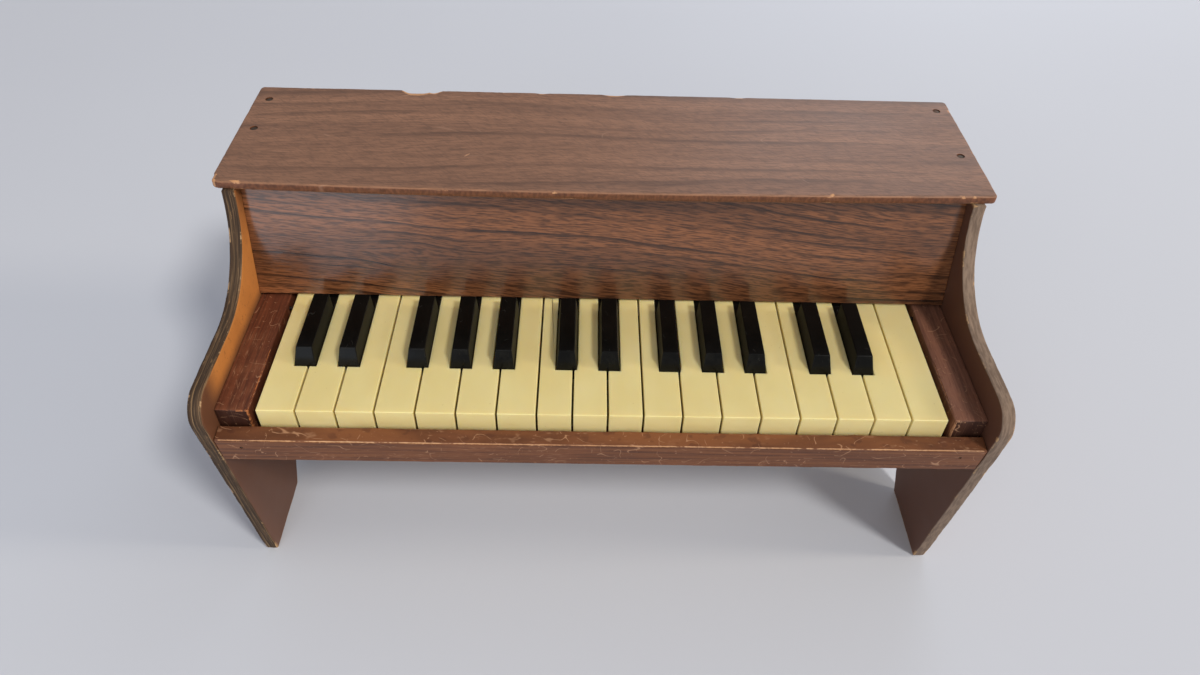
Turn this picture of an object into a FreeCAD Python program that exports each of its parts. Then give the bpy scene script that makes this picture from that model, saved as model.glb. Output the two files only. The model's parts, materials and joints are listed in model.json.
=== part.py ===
"""Tabletop toy piano with thirty keys.

Shaped plywood sides carry a lid, a slanted fallboard and a key bed. The keys are levers on one pivot rod;
a hammer post on each tail rises against a steel tone rod, and the rods stand in a bar on the back panel.

Lengths are millimetres. X runs along the keyboard with the low notes at negative X, Y from the player to
the back, and Z up from the floor. Places along Y are counted from the front of the white keys, and every
piece is then moved forward by origin_setback, which puts the origin under the middle of the piano.
"""
import FreeCAD, Part
import Sketcher
import os
import re

SIZES = {
    # Case boards
    "origin_setback": 104.92,
    "side_thickness": 8.0,
    "lid_rise": 74.5,
    "lid_thickness": 5.5,
    "lid_overhang": 5.8,
    "lid_setback": 1.83,
    "lid_depth": 114.0,
    "lid_rear_overhang": 5.5,
    "lid_bow": 4.2,
    "lid_corner_radius": 3.0,
    "lid_edge_radius": 1.2,
    "back_thickness": 3.0,
    "back_inset": 1.0,
    # Outline of a side panel
    "arm_rise": 17.0,
    "nose_reach": 15.8,
    "nose_radius": 16.0,
    "curve_start": 46.3,
    "curve_radius": 61.5,
    "foot_setback": 6.0,
    "foot_length": 57.0,
    "rear_foot_length": 52.0,
    "arch_height": 48.0,
    "arch_slope_run": 26.0,
    "arch_radius": 14.0,
    # Fallboard and its cleats
    "fall_lead": 8.87,
    "fall_lean": 19.0,
    "fall_gap": 1.2,
    "fall_thickness": 5.0,
    "cleat_width": 9.0,
    "cleat_depth": 9.0,
    "cleat_clearance": 14.0,
    # Front rail, key bed and cheek blocks
    "rail_drop": 13.4,
    "rail_height": 21.5,
    "rail_thickness": 10.3,
    "rail_reveal": 0.5,
    "bed_drop": 25.0,
    "bed_thickness": 6.0,
    "bed_gap": 0.2,
    "cheek_gap": 3.75,
    "cheek_width": 19.6,
    "cheek_front": 0.8,
    "cheek_length": 128.0,
    "cheek_drop": 1.0,
    # Keys
    "key_height": 155.5,
    "tail_gap": 21.0,
    "key_gap": 1.2,
    "lever_depth": 9.0,
    "lip_depth": 16.0,
    "lip_thickness": 3.5,
    "key_wall": 2.2,
    "notch_front": 35.6,
    "slot_gap": 0.45,
    "black_width": 12.6,
    "black_top_width": 9.6,
    "black_rise": 10.2,
    "black_front_slant": 5.5,
    "black_rear_slant": 0.8,
    "black_rear_gap": 11.8,
    "semitone_pitch": 12.95,
    "first_tail": 7.9,
    # White key pitch and sideways place of the tails in each group of keys
    "low_ce_pitch": 22.5,
    "low_fb_pitch": 23.27,
    "mid_ce_pitch": 20.59,
    "upper_fb_pitch": 22.68,
    "top_cf_pitch": 21.63,
    "low_ce_nudge": -0.45,
    "low_fb_nudge": 1.8,
    "mid_ce_nudge": 0.75,
    "upper_fb_nudge": -1.3,
    "top_cf_nudge": -0.55,
    # Pivot
    "pivot_lead": 6.8,
    "pivot_drop": 5.5,
    "pivot_radius": 1.5,
    "pivot_clearance": 0.06,
    "pivot_seat": 9.0,
    "pivot_end_gap": 0.5,
    "pivot_rail_width": 16.0,
    "pivot_rail_height": 12.0,
    "hanger_thickness": 0.6,
    "hanger_depth": 10.0,
    "hanger_foot": 6.0,
    "hanger_margin": 2.0,
    # Key rests
    "rest_setback": 35.0,
    "rest_width": 12.0,
    "rest_clearance": 0.2,
    "felt_thickness": 2.3,
    "front_felt_width": 10.0,
    # Hammers, tone rods and sound bar
    "hammer_setback": 13.0,
    "hammer_depth": 7.0,
    "hammer_width": 5.0,
    "hammer_rise": 24.0,
    "strike_travel": 6.4,
    "tone_rod_radius": 1.25,
    "tone_rod_seat": 8.0,
    "rod_tip_gap": 8.3,
    "rod_shortening": 1.1,
    "bar_depth": 12.0,
    "bar_height": 20.0,
    "seat_clearance": 0.03,
    # Nails and screws
    "nail_radius": 0.8,
    "nail_head_radius": 2.3,
    "nail_head_height": 1.0,
    "nail_length": 18.0,
    "nail_sink": 0.3,
    "hole_clearance": 0.1,
    "lid_nail_rear_left": 16.9,
    "lid_nail_front_left": 53.9,
    "lid_nail_rear_right": 13.2,
    "lid_nail_front_right": 69.2,
    "rail_nail_inset": 14.0,
    "rail_nail_drop": 21.0,
    "back_nail_margin": 8.0,
    "back_nail_rise": 21.0,
    "screw_radius": 1.6,
    "screw_head_radius": 3.2,
    "screw_head_height": 2.0,
    "screw_length": 10.0,
    "screw_spacing": 110.0,
    "overrun": 1.0,
}

NOTE_NAMES = ["c", "c_sharp", "d", "d_sharp", "e", "f", "f_sharp", "g", "g_sharp", "a", "a_sharp", "b"]
BLACK_NOTES = {1, 3, 6, 8, 10}
KEY_COUNT = 30
# Each group of keys: its name, its first semitone and its number of white keys
GROUPS = [("low_ce", 0, 3), ("low_fb", 5, 4), ("mid_ce", 12, 3), ("upper_fb", 17, 4), ("top_cf", 24, 4)]

# Coordinates closer than this are the same place
SAME_PLACE = 1e-6

FIELD = "(" + " + ".join(f"{whites} * {name}_pitch" for name, _, whites in GROUPS) + ")"
HALF_INNER = f"({FIELD} / 2 + cheek_gap + cheek_width)"
KEY_TOP = "key_height"
LEVER_BOTTOM = "(key_height - lever_depth)"
BED_TOP = "(key_height - bed_drop)"
PIVOT_HEIGHT = "(key_height - pivot_drop)"
ARM_TOP = "(key_height + arm_rise)"
LID_UNDERSIDE = "(key_height + lid_rise)"
CURVE_END = "(curve_start + sqrt(curve_radius^2 - (curve_radius - lid_rise + arm_rise)^2))"
FALL_FRONT = f"({CURVE_END} - fall_lead)"
PIVOT_SETBACK = f"({FALL_FRONT} - pivot_lead)"
LID_FRONT = f"({CURVE_END} + lid_setback)"
LID_REAR = f"({LID_FRONT} + lid_depth)"
SIDE_BACK = f"({LID_REAR} - lid_rear_overhang)"
BAR_FRONT = f"({SIDE_BACK} - bar_depth)"
KEY_END = f"({BAR_FRONT} - tail_gap)"
HAMMER_FRONT = f"({KEY_END} - hammer_setback)"
RAKE = "((nose_reach + foot_setback) / (key_height + arm_rise))"
RAKE_COS = f"(1 / sqrt(1 + {RAKE}^2))"
RAKE_SIN = f"({RAKE} / sqrt(1 + {RAKE}^2))"
ROD_HEIGHT = "(key_height + hammer_rise + strike_travel + tone_rod_radius)"

doc = FreeCAD.newDocument("toy_piano")
sheet = doc.addObject("Spreadsheet::Sheet", "Sizes")
for row, (size_name, size) in enumerate(SIZES.items(), start=1):
    sheet.set(f"A{row}", size_name)
    sheet.set(f"B{row}", str(size))
    sheet.setAlias(f"B{row}", size_name)
doc.recompute()

pieces = []


def bound(text):
    """A formula in size names, as an expression on the sheet's cells."""
    return re.sub(r"[a-z_]\w*", lambda m: "Sizes." + m[0] if m[0] in SIZES else m[0], text)


def value(text):
    return float(sheet.evalExpression(bound(text)))


def piece(label, thing):
    """Name a finished sub-part, which is then written to a file of that name."""
    thing.Label = label
    pieces.append(thing)
    return thing


def place(thing, x, y, z):
    thing.setExpression("Placement.Base.x", bound(x))
    thing.setExpression("Placement.Base.y", bound(f"{y} - origin_setback"))
    thing.setExpression("Placement.Base.z", bound(z))


def box(name, x, y, z):
    """A block between the low and high formula of each axis."""
    block = doc.addObject("Part::Box", name)
    for side, (low, high) in zip(("Length", "Width", "Height"), (x, y, z)):
        block.setExpression(side, bound(f"{high} - ({low})"))
    place(block, x[0], y[0], z[0])
    return block


def cylinder(name, axis, start, radius, length):
    """A round bar from a start point along the given axis."""
    bar = doc.addObject("Part::Cylinder", name)
    bar.setExpression("Radius", bound(radius))
    bar.setExpression("Height", bound(length))
    bar.Placement.Rotation = FreeCAD.Rotation(FreeCAD.Vector(0, 0, 1), FreeCAD.Vector(*axis))
    place(bar, *start)
    return bar


def fuse(name, parts):
    joined = doc.addObject("Part::MultiFuse", name)
    joined.Shapes = parts
    return joined


def compound(name, parts):
    group = doc.addObject("Part::Compound", name)
    group.Links = parts
    return group


def cut(name, base, tools):
    rest = doc.addObject("Part::Cut", name)
    rest.Base = base
    rest.Tool = tools[0] if len(tools) == 1 else compound(f"{name}_tools", tools)
    return rest


def outline(body, role, points, arcs=()):
    """A closed sketch through the points; arcs maps an edge to its centre and radius formulas."""
    sketch = body.newObject("Sketcher::SketchObject", f"{body.Name}_outline")
    plane = next(f for f in body.Origin.OriginFeatures if f.Role == role)
    sketch.AttachmentSupport = (plane, [""])
    sketch.MapMode = "FlatFace"
    corners = [FreeCAD.Vector(value(h), value(v), 0) for h, v in points]
    count = len(corners)
    for i, start in enumerate(corners):
        end = corners[(i + 1) % count]
        if i in arcs:
            centre = FreeCAD.Vector(value(arcs[i][0]), value(arcs[i][1]), 0)
            circle = Part.Circle(centre, FreeCAD.Vector(0, 0, 1), value(arcs[i][2]))
            sketch.addGeometry(Part.ArcOfCircle(circle, circle.parameter(start), circle.parameter(end)))
        else:
            sketch.addGeometry(Part.LineSegment(start, end))
    for i, (h, v) in enumerate(points):
        sketch.addConstraint(Sketcher.Constraint("Coincident", i, 2, (i + 1) % count, 1))
        for kind, formula in (("DistanceX", h), ("DistanceY", v)):
            index = sketch.addConstraint(Sketcher.Constraint(kind, -1, 1, i, 1, value(formula)))
            sketch.setExpression(f"Constraints[{index}]", bound(formula))
        if i in arcs:
            index = sketch.addConstraint(Sketcher.Constraint("Radius", i, value(arcs[i][2])))
            sketch.setExpression(f"Constraints[{index}]", bound(arcs[i][2]))
    return sketch


def board(name, role, points, thickness, arcs=()):
    """A body with one pad; its outline counts Y from the front of the white keys."""
    body = doc.addObject("PartDesign::Body", name)
    pad = body.newObject("PartDesign::Pad", f"{name}_pad")
    pad.Profile = outline(body, role, points, arcs)
    pad.setExpression("Length", bound(thickness))
    doc.recompute()
    return body


def round_edges(body, radius, wanted):
    """Fillet the edges whose middle and direction pass the test."""
    base = body.Tip
    names = []
    for index, edge in enumerate(base.Shape.Edges, start=1):
        middle = edge.valueAt((edge.FirstParameter + edge.LastParameter) / 2)
        direction = edge.tangentAt(edge.FirstParameter)
        if wanted(middle, direction):
            names.append(f"Edge{index}")
    fillet = body.newObject("PartDesign::Fillet", f"{body.Name}_{radius}")
    fillet.Base = (base, names)
    fillet.setExpression("Radius", bound(radius))
    doc.recompute()


def near(number, formula):
    return abs(number - value(formula)) < SAME_PLACE


def nail(name, axis, start, length):
    """A flat-headed nail whose length includes its head."""
    head = cylinder(f"{name}_head", axis, start, "nail_head_radius", "nail_head_height")
    shank = cylinder(f"{name}_shank", axis, start, "nail_radius", length)
    return fuse(name, [head, shank])


def white_edge(group_index, position):
    """X of the border left of a white key, counted within its group."""
    before = [f"{whites} * {name}_pitch" for name, _, whites in GROUPS[:group_index]]
    before.append(f"{position} * {GROUPS[group_index][0]}_pitch")
    return f"(-{FIELD} / 2 + " + " + ".join(before) + ")"


def tail_centre(semitone):
    """X of the middle of a key's tail, on an even semitone spacing nudged group by group."""
    group = [name for name, first, _ in GROUPS if first <= semitone][-1]
    return f"(-{FIELD} / 2 + first_tail + {semitone} * semitone_pitch + {group}_nudge)"


def is_black(semitone):
    return semitone % 12 in BLACK_NOTES


def key_name(semitone):
    return f"key_{semitone + 1:02d}_{NOTE_NAMES[semitone % 12]}"


def hammer_and_bore(name, semitone, x):
    """The hammer post on a key's tail, and the bore for the pivot rod across its lever."""
    middle = tail_centre(semitone)
    post = box(f"{name}_hammer", (f"{middle} - hammer_width / 2", f"{middle} + hammer_width / 2"),
               (HAMMER_FRONT, f"{HAMMER_FRONT} + hammer_depth"), (KEY_TOP, "key_height + hammer_rise"))
    bore = cylinder(f"{name}_bore", (1, 0, 0), (f"{x[0]} - overrun", PIVOT_SETBACK, PIVOT_HEIGHT),
                    "pivot_radius + pivot_clearance", f"{x[1]} - ({x[0]}) + 2 * overrun")
    return post, bore


def white_key(semitone, group_index, position):
    name = key_name(semitone)
    left = f"{white_edge(group_index, position)} + key_gap / 2"
    right = f"{white_edge(group_index, position + 1)} - key_gap / 2"
    lever = [left, right]
    if is_black(semitone - 1):
        lever[0] = f"{tail_centre(semitone - 1)} + black_width / 2 + slot_gap"
    if is_black(semitone + 1) and semitone + 1 < KEY_COUNT:
        lever[1] = f"{tail_centre(semitone + 1)} - black_width / 2 - slot_gap"
    depth = (LEVER_BOTTOM, KEY_TOP)
    post, bore = hammer_and_bore(name, semitone, lever)
    solid = fuse(f"{name}_solid", [
        box(f"{name}_head", (left, right), ("0", "notch_front"), depth),
        box(f"{name}_lever", lever, ("notch_front", KEY_END), depth),
        box(f"{name}_lip", (left, right), ("0", "lip_thickness"), ("key_height - lip_depth", LEVER_BOTTOM)),
        post,
    ])
    hollow = box(f"{name}_hollow", (f"{left} + key_wall", f"{right} - key_wall"),
                 ("lip_thickness", "notch_front - key_wall"),
                 (f"{LEVER_BOTTOM} - overrun", "key_height - key_wall"))
    piece(name, cut(f"{name}_moulding", solid, [hollow, bore]))


def black_key(semitone):
    """A lever with a tapered cap that slants at its front and ends short of the fallboard."""
    name = key_name(semitone)
    middle = tail_centre(semitone)
    lever = [f"{middle} - black_width / 2", f"{middle} + black_width / 2"]
    front = "notch_front + slot_gap"
    top_front = f"{front} + black_front_slant"
    rear = f"({FALL_FRONT} - black_rear_gap)"
    cap = doc.addObject("Part::Wedge", f"{name}_cap")
    shape = {
        "Xmin": "-black_width / 2", "Xmax": "black_width / 2",
        "X2min": "-black_top_width / 2", "X2max": "black_top_width / 2",
        "Ymin": "0", "Ymax": "black_rise",
        "Zmin": f"-{rear}", "Zmax": f"-({front})",
        "Z2min": f"black_rear_slant - {rear}", "Z2max": f"-({top_front})",
    }
    for side, formula in shape.items():
        cap.setExpression(side, bound(formula))
    cap.Placement.Rotation = FreeCAD.Rotation(FreeCAD.Vector(1, 0, 0), 90)
    place(cap, middle, "0", KEY_TOP)
    post, bore = hammer_and_bore(name, semitone, lever)
    solid = fuse(f"{name}_solid", [
        cap,
        box(f"{name}_lever", lever, (front, KEY_END), (LEVER_BOTTOM, KEY_TOP)),
        post,
    ])
    piece(name, cut(f"{name}_moulding", solid, [bore]))


def lid_nail_places():
    """Nail places over the middle of each side panel's top edge."""
    middle = f"({HALF_INNER} + side_thickness / 2)"
    return {
        "left": [(f"-{middle}", f"{LID_REAR} - lid_nail_{end}_left") for end in ("rear", "front")],
        "right": [(middle, f"{LID_REAR} - lid_nail_{end}_right") for end in ("rear", "front")],
    }


def back_nail_places(sign):
    """Nail places up the back edge of one side panel."""
    middle = f"{sign} * ({HALF_INNER} + side_thickness / 2)"
    high = f"({LID_UNDERSIDE} + lid_thickness - nail_length - back_nail_margin)"
    low = f"({BED_TOP} - bed_thickness + back_nail_rise)"
    return [(middle, low), (middle, f"(({low} + {high}) / 2)"), (middle, high)]


def rail_nail_start(sign):
    """The sunk end of the finishing nail in one end of the front rail."""
    height = "(key_height - rail_nail_drop)"
    face = f"(foot_setback - {RAKE} * {height} + rail_reveal)"
    return (f"{sign} * ({HALF_INNER} - rail_nail_inset)", f"{face} + nail_sink", height)


def side_panels():
    rear_foot = f"{SIDE_BACK} - rear_foot_length"
    front_foot = "foot_setback + foot_length"
    points = [
        ("foot_setback", "0"),
        ("-nose_reach", ARM_TOP),
        ("curve_start", ARM_TOP),
        (CURVE_END, LID_UNDERSIDE),
        (SIDE_BACK, LID_UNDERSIDE),
        (SIDE_BACK, "0"),
        (rear_foot, "0"),
        (f"{rear_foot} - arch_slope_run", "arch_height"),
        (f"{front_foot} + arch_slope_run", "arch_height"),
        (front_foot, "0"),
    ]
    arcs = {2: ("curve_start", f"{ARM_TOP} + curve_radius", "curve_radius")}
    for side, sign in (("left", -1), ("right", 1)):
        body = board(f"side_{side}_board", "YZ_Plane", points, "side_thickness", arcs)
        round_edges(body, "nose_radius", lambda m, d: abs(d.x) > 0.9 and near(m.y, "-nose_reach"))
        round_edges(body, "arch_radius", lambda m, d: abs(d.x) > 0.9 and near(m.z, "arch_height"))
        inner = f"-{HALF_INNER} - side_thickness" if sign < 0 else HALF_INNER
        place(body, inner, "0", "0")
        tools = []
        for i, (x, y) in enumerate(lid_nail_places()[side]):
            tools.append(cylinder(f"side_{side}_lid_nail_{i}", (0, 0, -1),
                                  (x, y, f"{LID_UNDERSIDE} + overrun"),
                                  "nail_radius + hole_clearance",
                                  "nail_length + nail_sink - lid_thickness + 2 * overrun"))
        for i, (x, z) in enumerate(back_nail_places(sign)):
            tools.append(cylinder(f"side_{side}_back_nail_{i}", (0, -1, 0),
                                  (x, f"{SIDE_BACK} + overrun", z),
                                  "nail_radius + hole_clearance",
                                  "nail_length - back_thickness + 2 * overrun"))
        piece(f"side_panel_{side}", cut(f"side_{side}", body, tools))


def lid_and_nails():
    half = f"({HALF_INNER} + side_thickness + lid_overhang)"
    bow_radius = f"(({half}^2 + lid_bow^2) / (2 * lid_bow))"
    points = [(f"-{half}", LID_FRONT), (half, LID_FRONT), (half, LID_REAR), (f"-{half}", LID_REAR)]
    arcs = {0: ("0", f"{LID_FRONT} - lid_bow + {bow_radius}", bow_radius)}
    body = board("lid_board", "XY_Plane", points, "lid_thickness", arcs)
    round_edges(body, "lid_corner_radius", lambda m, d: abs(d.z) > 0.9)
    round_edges(body, "lid_edge_radius", lambda m, d: near(m.z, "0") or near(m.z, "lid_thickness"))
    place(body, "0", "0", LID_UNDERSIDE)
    top = f"{LID_UNDERSIDE} + lid_thickness"
    tools = []
    nails = []
    for i, (x, y) in enumerate(sum(lid_nail_places().values(), [])):
        start = (x, y, f"{top} - nail_sink")
        nails.append(nail(f"lid_nail_{i}", (0, 0, -1), start, "nail_length"))
        tools.append(cylinder(f"lid_sink_{i}", (0, 0, -1), (x, y, f"{top} + overrun"),
                              "nail_head_radius + hole_clearance", "overrun + nail_sink + nail_head_height"))
        tools.append(cylinder(f"lid_hole_{i}", (0, 0, -1), (x, y, f"{top} + overrun"),
                              "nail_radius + hole_clearance", "lid_thickness + 2 * overrun"))
    piece("lid", cut("lid_cut", body, tools))
    piece("lid_nails", compound("lid_nail_group", nails))


def fallboard_line(height):
    """Y of the fallboard's front face at a height."""
    share = f"(({height} - key_height - fall_gap) / (lid_rise - fall_gap))"
    return f"({FALL_FRONT} + fall_lean * {share})"


def fallboard_and_cleats():
    low, high = "(key_height + fall_gap)", LID_UNDERSIDE
    points = [
        (fallboard_line(low), low),
        (f"{fallboard_line(low)} + fall_thickness", low),
        (f"{fallboard_line(high)} + fall_thickness", high),
        (fallboard_line(high), high),
    ]
    body = board("fallboard_body", "YZ_Plane", points, f"2 * {HALF_INNER}")
    place(body, f"-{HALF_INNER}", "0", "0")
    piece("fallboard", body)
    low, high = "(key_height + fall_gap + cleat_clearance)", f"({LID_UNDERSIDE} - cleat_clearance)"
    points = [
        (f"{fallboard_line(low)} + fall_thickness", low),
        (f"{fallboard_line(low)} + fall_thickness + cleat_depth", low),
        (f"{fallboard_line(high)} + fall_thickness + cleat_depth", high),
        (f"{fallboard_line(high)} + fall_thickness", high),
    ]
    for side, x in (("left", f"-{HALF_INNER}"), ("right", f"{HALF_INNER} - cleat_width")):
        cleat = board(f"cleat_{side}_body", "YZ_Plane", points, "cleat_width")
        place(cleat, x, "0", "0")
        piece(f"cleat_{side}", cleat)


def rail_corner(along, down):
    """A corner of the tilted front rail, from its front top edge."""
    top = "(key_height - rail_drop)"
    y = f"foot_setback - {RAKE} * {top} + rail_reveal + {along} * {RAKE_COS} + {down} * {RAKE_SIN}"
    z = f"{top} + {along} * {RAKE_SIN} - {down} * {RAKE_COS}"
    return f"({y})", f"({z})"


def front_rail_and_nails():
    points = [
        rail_corner("0", "0"),
        rail_corner("0", "rail_height"),
        rail_corner("rail_thickness", "rail_height"),
        rail_corner("rail_thickness", "0"),
    ]
    body = board("front_rail_body", "YZ_Plane", points, f"2 * {HALF_INNER}")
    place(body, f"-{HALF_INNER}", "0", "0")
    nails = []
    tools = []
    for side, sign in (("left", -1), ("right", 1)):
        x, y, z = rail_nail_start(sign)
        nails.append(cylinder(f"rail_nail_{side}", (0, 1, 0), (x, y, z), "nail_radius", "nail_length"))
        tools.append(cylinder(f"rail_hole_{side}", (0, 1, 0), (x, f"{y} - nail_sink - overrun", z),
                              "nail_radius + hole_clearance", "nail_length + nail_sink + 2 * overrun"))
    piece("front_rail", cut("front_rail_cut", body, tools))
    piece("rail_nails", compound("rail_nail_group", nails))


def bed_and_cheeks():
    bed_front = f"{rail_corner('rail_thickness', 'rail_height')[0]} + bed_gap"
    piece("key_bed", box("key_bed_board", (f"-{HALF_INNER}", HALF_INNER), (bed_front, SIDE_BACK),
                         (f"{BED_TOP} - bed_thickness", BED_TOP)))
    for side, sign in (("left", -1), ("right", 1)):
        x = (f"-{HALF_INNER}", f"cheek_width - {HALF_INNER}")
        bore_start = f"cheek_width - {HALF_INNER} - pivot_seat - pivot_end_gap"
        if sign > 0:
            x = (f"{HALF_INNER} - cheek_width", HALF_INNER)
            bore_start = f"{HALF_INNER} - cheek_width - overrun"
        block = box(f"cheek_{side}_block", x, ("cheek_front", "cheek_front + cheek_length"),
                    (BED_TOP, "key_height - cheek_drop"))
        bore = cylinder(f"cheek_{side}_bore", (1, 0, 0), (bore_start, PIVOT_SETBACK, PIVOT_HEIGHT),
                        "pivot_radius + seat_clearance", "pivot_seat + pivot_end_gap + overrun")
        nail_x, nail_y, nail_z = rail_nail_start(sign)
        nail_hole = cylinder(f"cheek_{side}_nail", (0, 1, 0), (nail_x, nail_y, nail_z),
                             "nail_radius + hole_clearance", "nail_length + overrun")
        piece(f"cheek_{side}", cut(f"cheek_{side}_cut", block, [bore, nail_hole]))


def pivot():
    reach = f"({HALF_INNER} - cheek_width + pivot_seat)"
    piece("pivot_rod", cylinder("pivot_rod_bar", (1, 0, 0), (f"-{reach}", PIVOT_SETBACK, PIVOT_HEIGHT),
                                "pivot_radius", f"2 * {reach}"))
    rail_top = f"({BED_TOP} + pivot_rail_height)"
    rail_y = (f"{PIVOT_SETBACK} - pivot_rail_width / 2", f"{PIVOT_SETBACK} + pivot_rail_width / 2")
    rail_x = (f"-{FIELD} / 2", f"{FIELD} / 2")
    piece("pivot_rail", box("pivot_rail_bar", rail_x, rail_y, (BED_TOP, rail_top)))
    hangers = []
    gaps = [(1, 0), (2, 0), (3, 0), (4, 0), (4, 3)]
    y = (f"{PIVOT_SETBACK} - hanger_depth / 2", f"{PIVOT_SETBACK} + hanger_depth / 2")
    for i, (group_index, position) in enumerate(gaps):
        middle = white_edge(group_index, position)
        left = f"{middle} - hanger_thickness / 2"
        right = f"{middle} + hanger_thickness / 2"
        plate = fuse(f"hanger_{i}_plate", [
            box(f"hanger_{i}_web", (left, right), y,
                (rail_top, f"{PIVOT_HEIGHT} + pivot_radius + hanger_margin")),
            box(f"hanger_{i}_foot", (left, f"{right} + hanger_foot"), y,
                (rail_top, f"{rail_top} + hanger_thickness")),
        ])
        bore = cylinder(f"hanger_{i}_bore", (1, 0, 0), (f"{left} - overrun", PIVOT_SETBACK, PIVOT_HEIGHT),
                        "pivot_radius + pivot_clearance", "hanger_thickness + 2 * overrun")
        hangers.append(cut(f"hanger_{i}", plate, [bore]))
    piece("pivot_hangers", compound("hanger_group", hangers))


def key_rests():
    x = (f"-{FIELD} / 2", f"{FIELD} / 2")
    y = (f"{KEY_END} - rest_setback", f"{KEY_END} - rest_setback + rest_width")
    felt_top = f"({LEVER_BOTTOM} - rest_clearance)"
    piece("rest_rail", box("rest_rail_bar", x, y, (BED_TOP, f"{felt_top} - felt_thickness")))
    piece("rest_felt", box("rest_felt_strip", x, y, (f"{felt_top} - felt_thickness", felt_top)))
    front = f"({rail_corner('rail_thickness', 'rail_height')[0]} + bed_gap)"
    piece("front_felt", box("front_felt_strip", x, (front, f"{front} + front_felt_width"),
                            (BED_TOP, f"{BED_TOP} + felt_thickness")))


def screw_places():
    return [f"{step} * screw_spacing / 2" for step in (-3, -1, 1, 3)]


def sound_bar_and_rods():
    longest_tip = f"{fallboard_line(ROD_HEIGHT)} + fall_thickness + rod_tip_gap"
    block = box("sound_bar_block", (f"-{FIELD} / 2", f"{FIELD} / 2"), (BAR_FRONT, SIDE_BACK),
                (f"{ROD_HEIGHT} - bar_height / 2", f"{ROD_HEIGHT} + bar_height / 2"))
    rods = []
    tools = []
    for semitone in range(KEY_COUNT):
        middle = tail_centre(semitone)
        tip = f"({longest_tip} + {semitone} * rod_shortening)"
        rods.append(cylinder(f"tone_rod_{semitone}", (0, 1, 0), (middle, tip, ROD_HEIGHT),
                             "tone_rod_radius", f"{BAR_FRONT} + tone_rod_seat - {tip}"))
        tools.append(cylinder(f"tone_hole_{semitone}", (0, 1, 0),
                              (middle, f"{BAR_FRONT} - overrun", ROD_HEIGHT),
                              "tone_rod_radius + seat_clearance", "tone_rod_seat + overrun"))
    low = f"({ROD_HEIGHT} - bar_height / 4)"
    for i, x in enumerate(screw_places()):
        tools.append(cylinder(f"bar_hole_{i}", (0, -1, 0), (x, f"{SIDE_BACK} + overrun", low),
                              "screw_radius + seat_clearance",
                              "screw_length - back_thickness + 2 * overrun"))
    piece("sound_bar", cut("sound_bar_cut", block, tools))
    piece("tone_rods", compound("tone_rod_group", rods))


def back_panel_and_fasteners():
    half = f"({HALF_INNER} + side_thickness - back_inset)"
    face = f"({SIDE_BACK} + back_thickness)"
    panel = box("back_board", (f"-{half}", half), (SIDE_BACK, face),
                (f"{BED_TOP} - bed_thickness", LID_UNDERSIDE))
    tools = []
    nails = []
    for i, (x, z) in enumerate(back_nail_places(-1) + back_nail_places(1)):
        start = (x, f"{face} + nail_head_height", z)
        nails.append(nail(f"back_nail_{i}", (0, -1, 0), start, "nail_length + nail_head_height"))
        tools.append(cylinder(f"back_hole_{i}", (0, -1, 0), (x, f"{face} + overrun", z),
                              "nail_radius + hole_clearance", "back_thickness + 2 * overrun"))
    screws = []
    low = f"({ROD_HEIGHT} - bar_height / 4)"
    for i, x in enumerate(screw_places()):
        head = cylinder(f"bar_screw_{i}_head", (0, -1, 0), (x, f"{face} + screw_head_height", low),
                        "screw_head_radius", "screw_head_height")
        shank = cylinder(f"bar_screw_{i}_shank", (0, -1, 0), (x, f"{face} + screw_head_height", low),
                         "screw_radius", "screw_head_height + screw_length")
        screws.append(fuse(f"bar_screw_{i}", [head, shank]))
        tools.append(cylinder(f"back_screw_hole_{i}", (0, -1, 0), (x, f"{face} + overrun", low),
                              "screw_radius + hole_clearance", "back_thickness + 2 * overrun"))
    piece("back_panel", cut("back_panel_cut", panel, tools))
    piece("back_nails", compound("back_nail_group", nails))
    piece("bar_screws", compound("bar_screw_group", screws))


def keyboard():
    for group_index, (_, first, whites) in enumerate(GROUPS):
        semitone = first
        for position in range(whites):
            white_key(semitone, group_index, position)
            semitone += 1
            if is_black(semitone) and semitone < KEY_COUNT:
                black_key(semitone)
                semitone += 1


side_panels()
lid_and_nails()
fallboard_and_cleats()
front_rail_and_nails()
bed_and_cheeks()
pivot()
key_rests()
sound_bar_and_rods()
back_panel_and_fasteners()
keyboard()
doc.recompute()

failed = [o.Name for o in doc.Objects if "Invalid" in o.State or "Error" in o.State]
if failed:
    raise RuntimeError("failed objects: " + ", ".join(failed))
for thing in pieces:
    if thing.Shape.isNull() or not thing.Shape.isValid():
        raise RuntimeError("bad shape: " + thing.Label)

os.makedirs("parts", exist_ok=True)
for thing in pieces:
    thing.Shape.exportStep(f"parts/{thing.Label}.step")
print(len(pieces), "sub-parts written")
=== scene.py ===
"""Looks of the toy piano: finishes, rounded and worn edges, fasteners, floor, lights and camera.

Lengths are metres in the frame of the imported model: X to the right along the keys, Y to the back, Z up.
"""

import json
import math

import bmesh
import bpy
from mathutils import Euler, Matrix, Vector, geometry, noise

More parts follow.
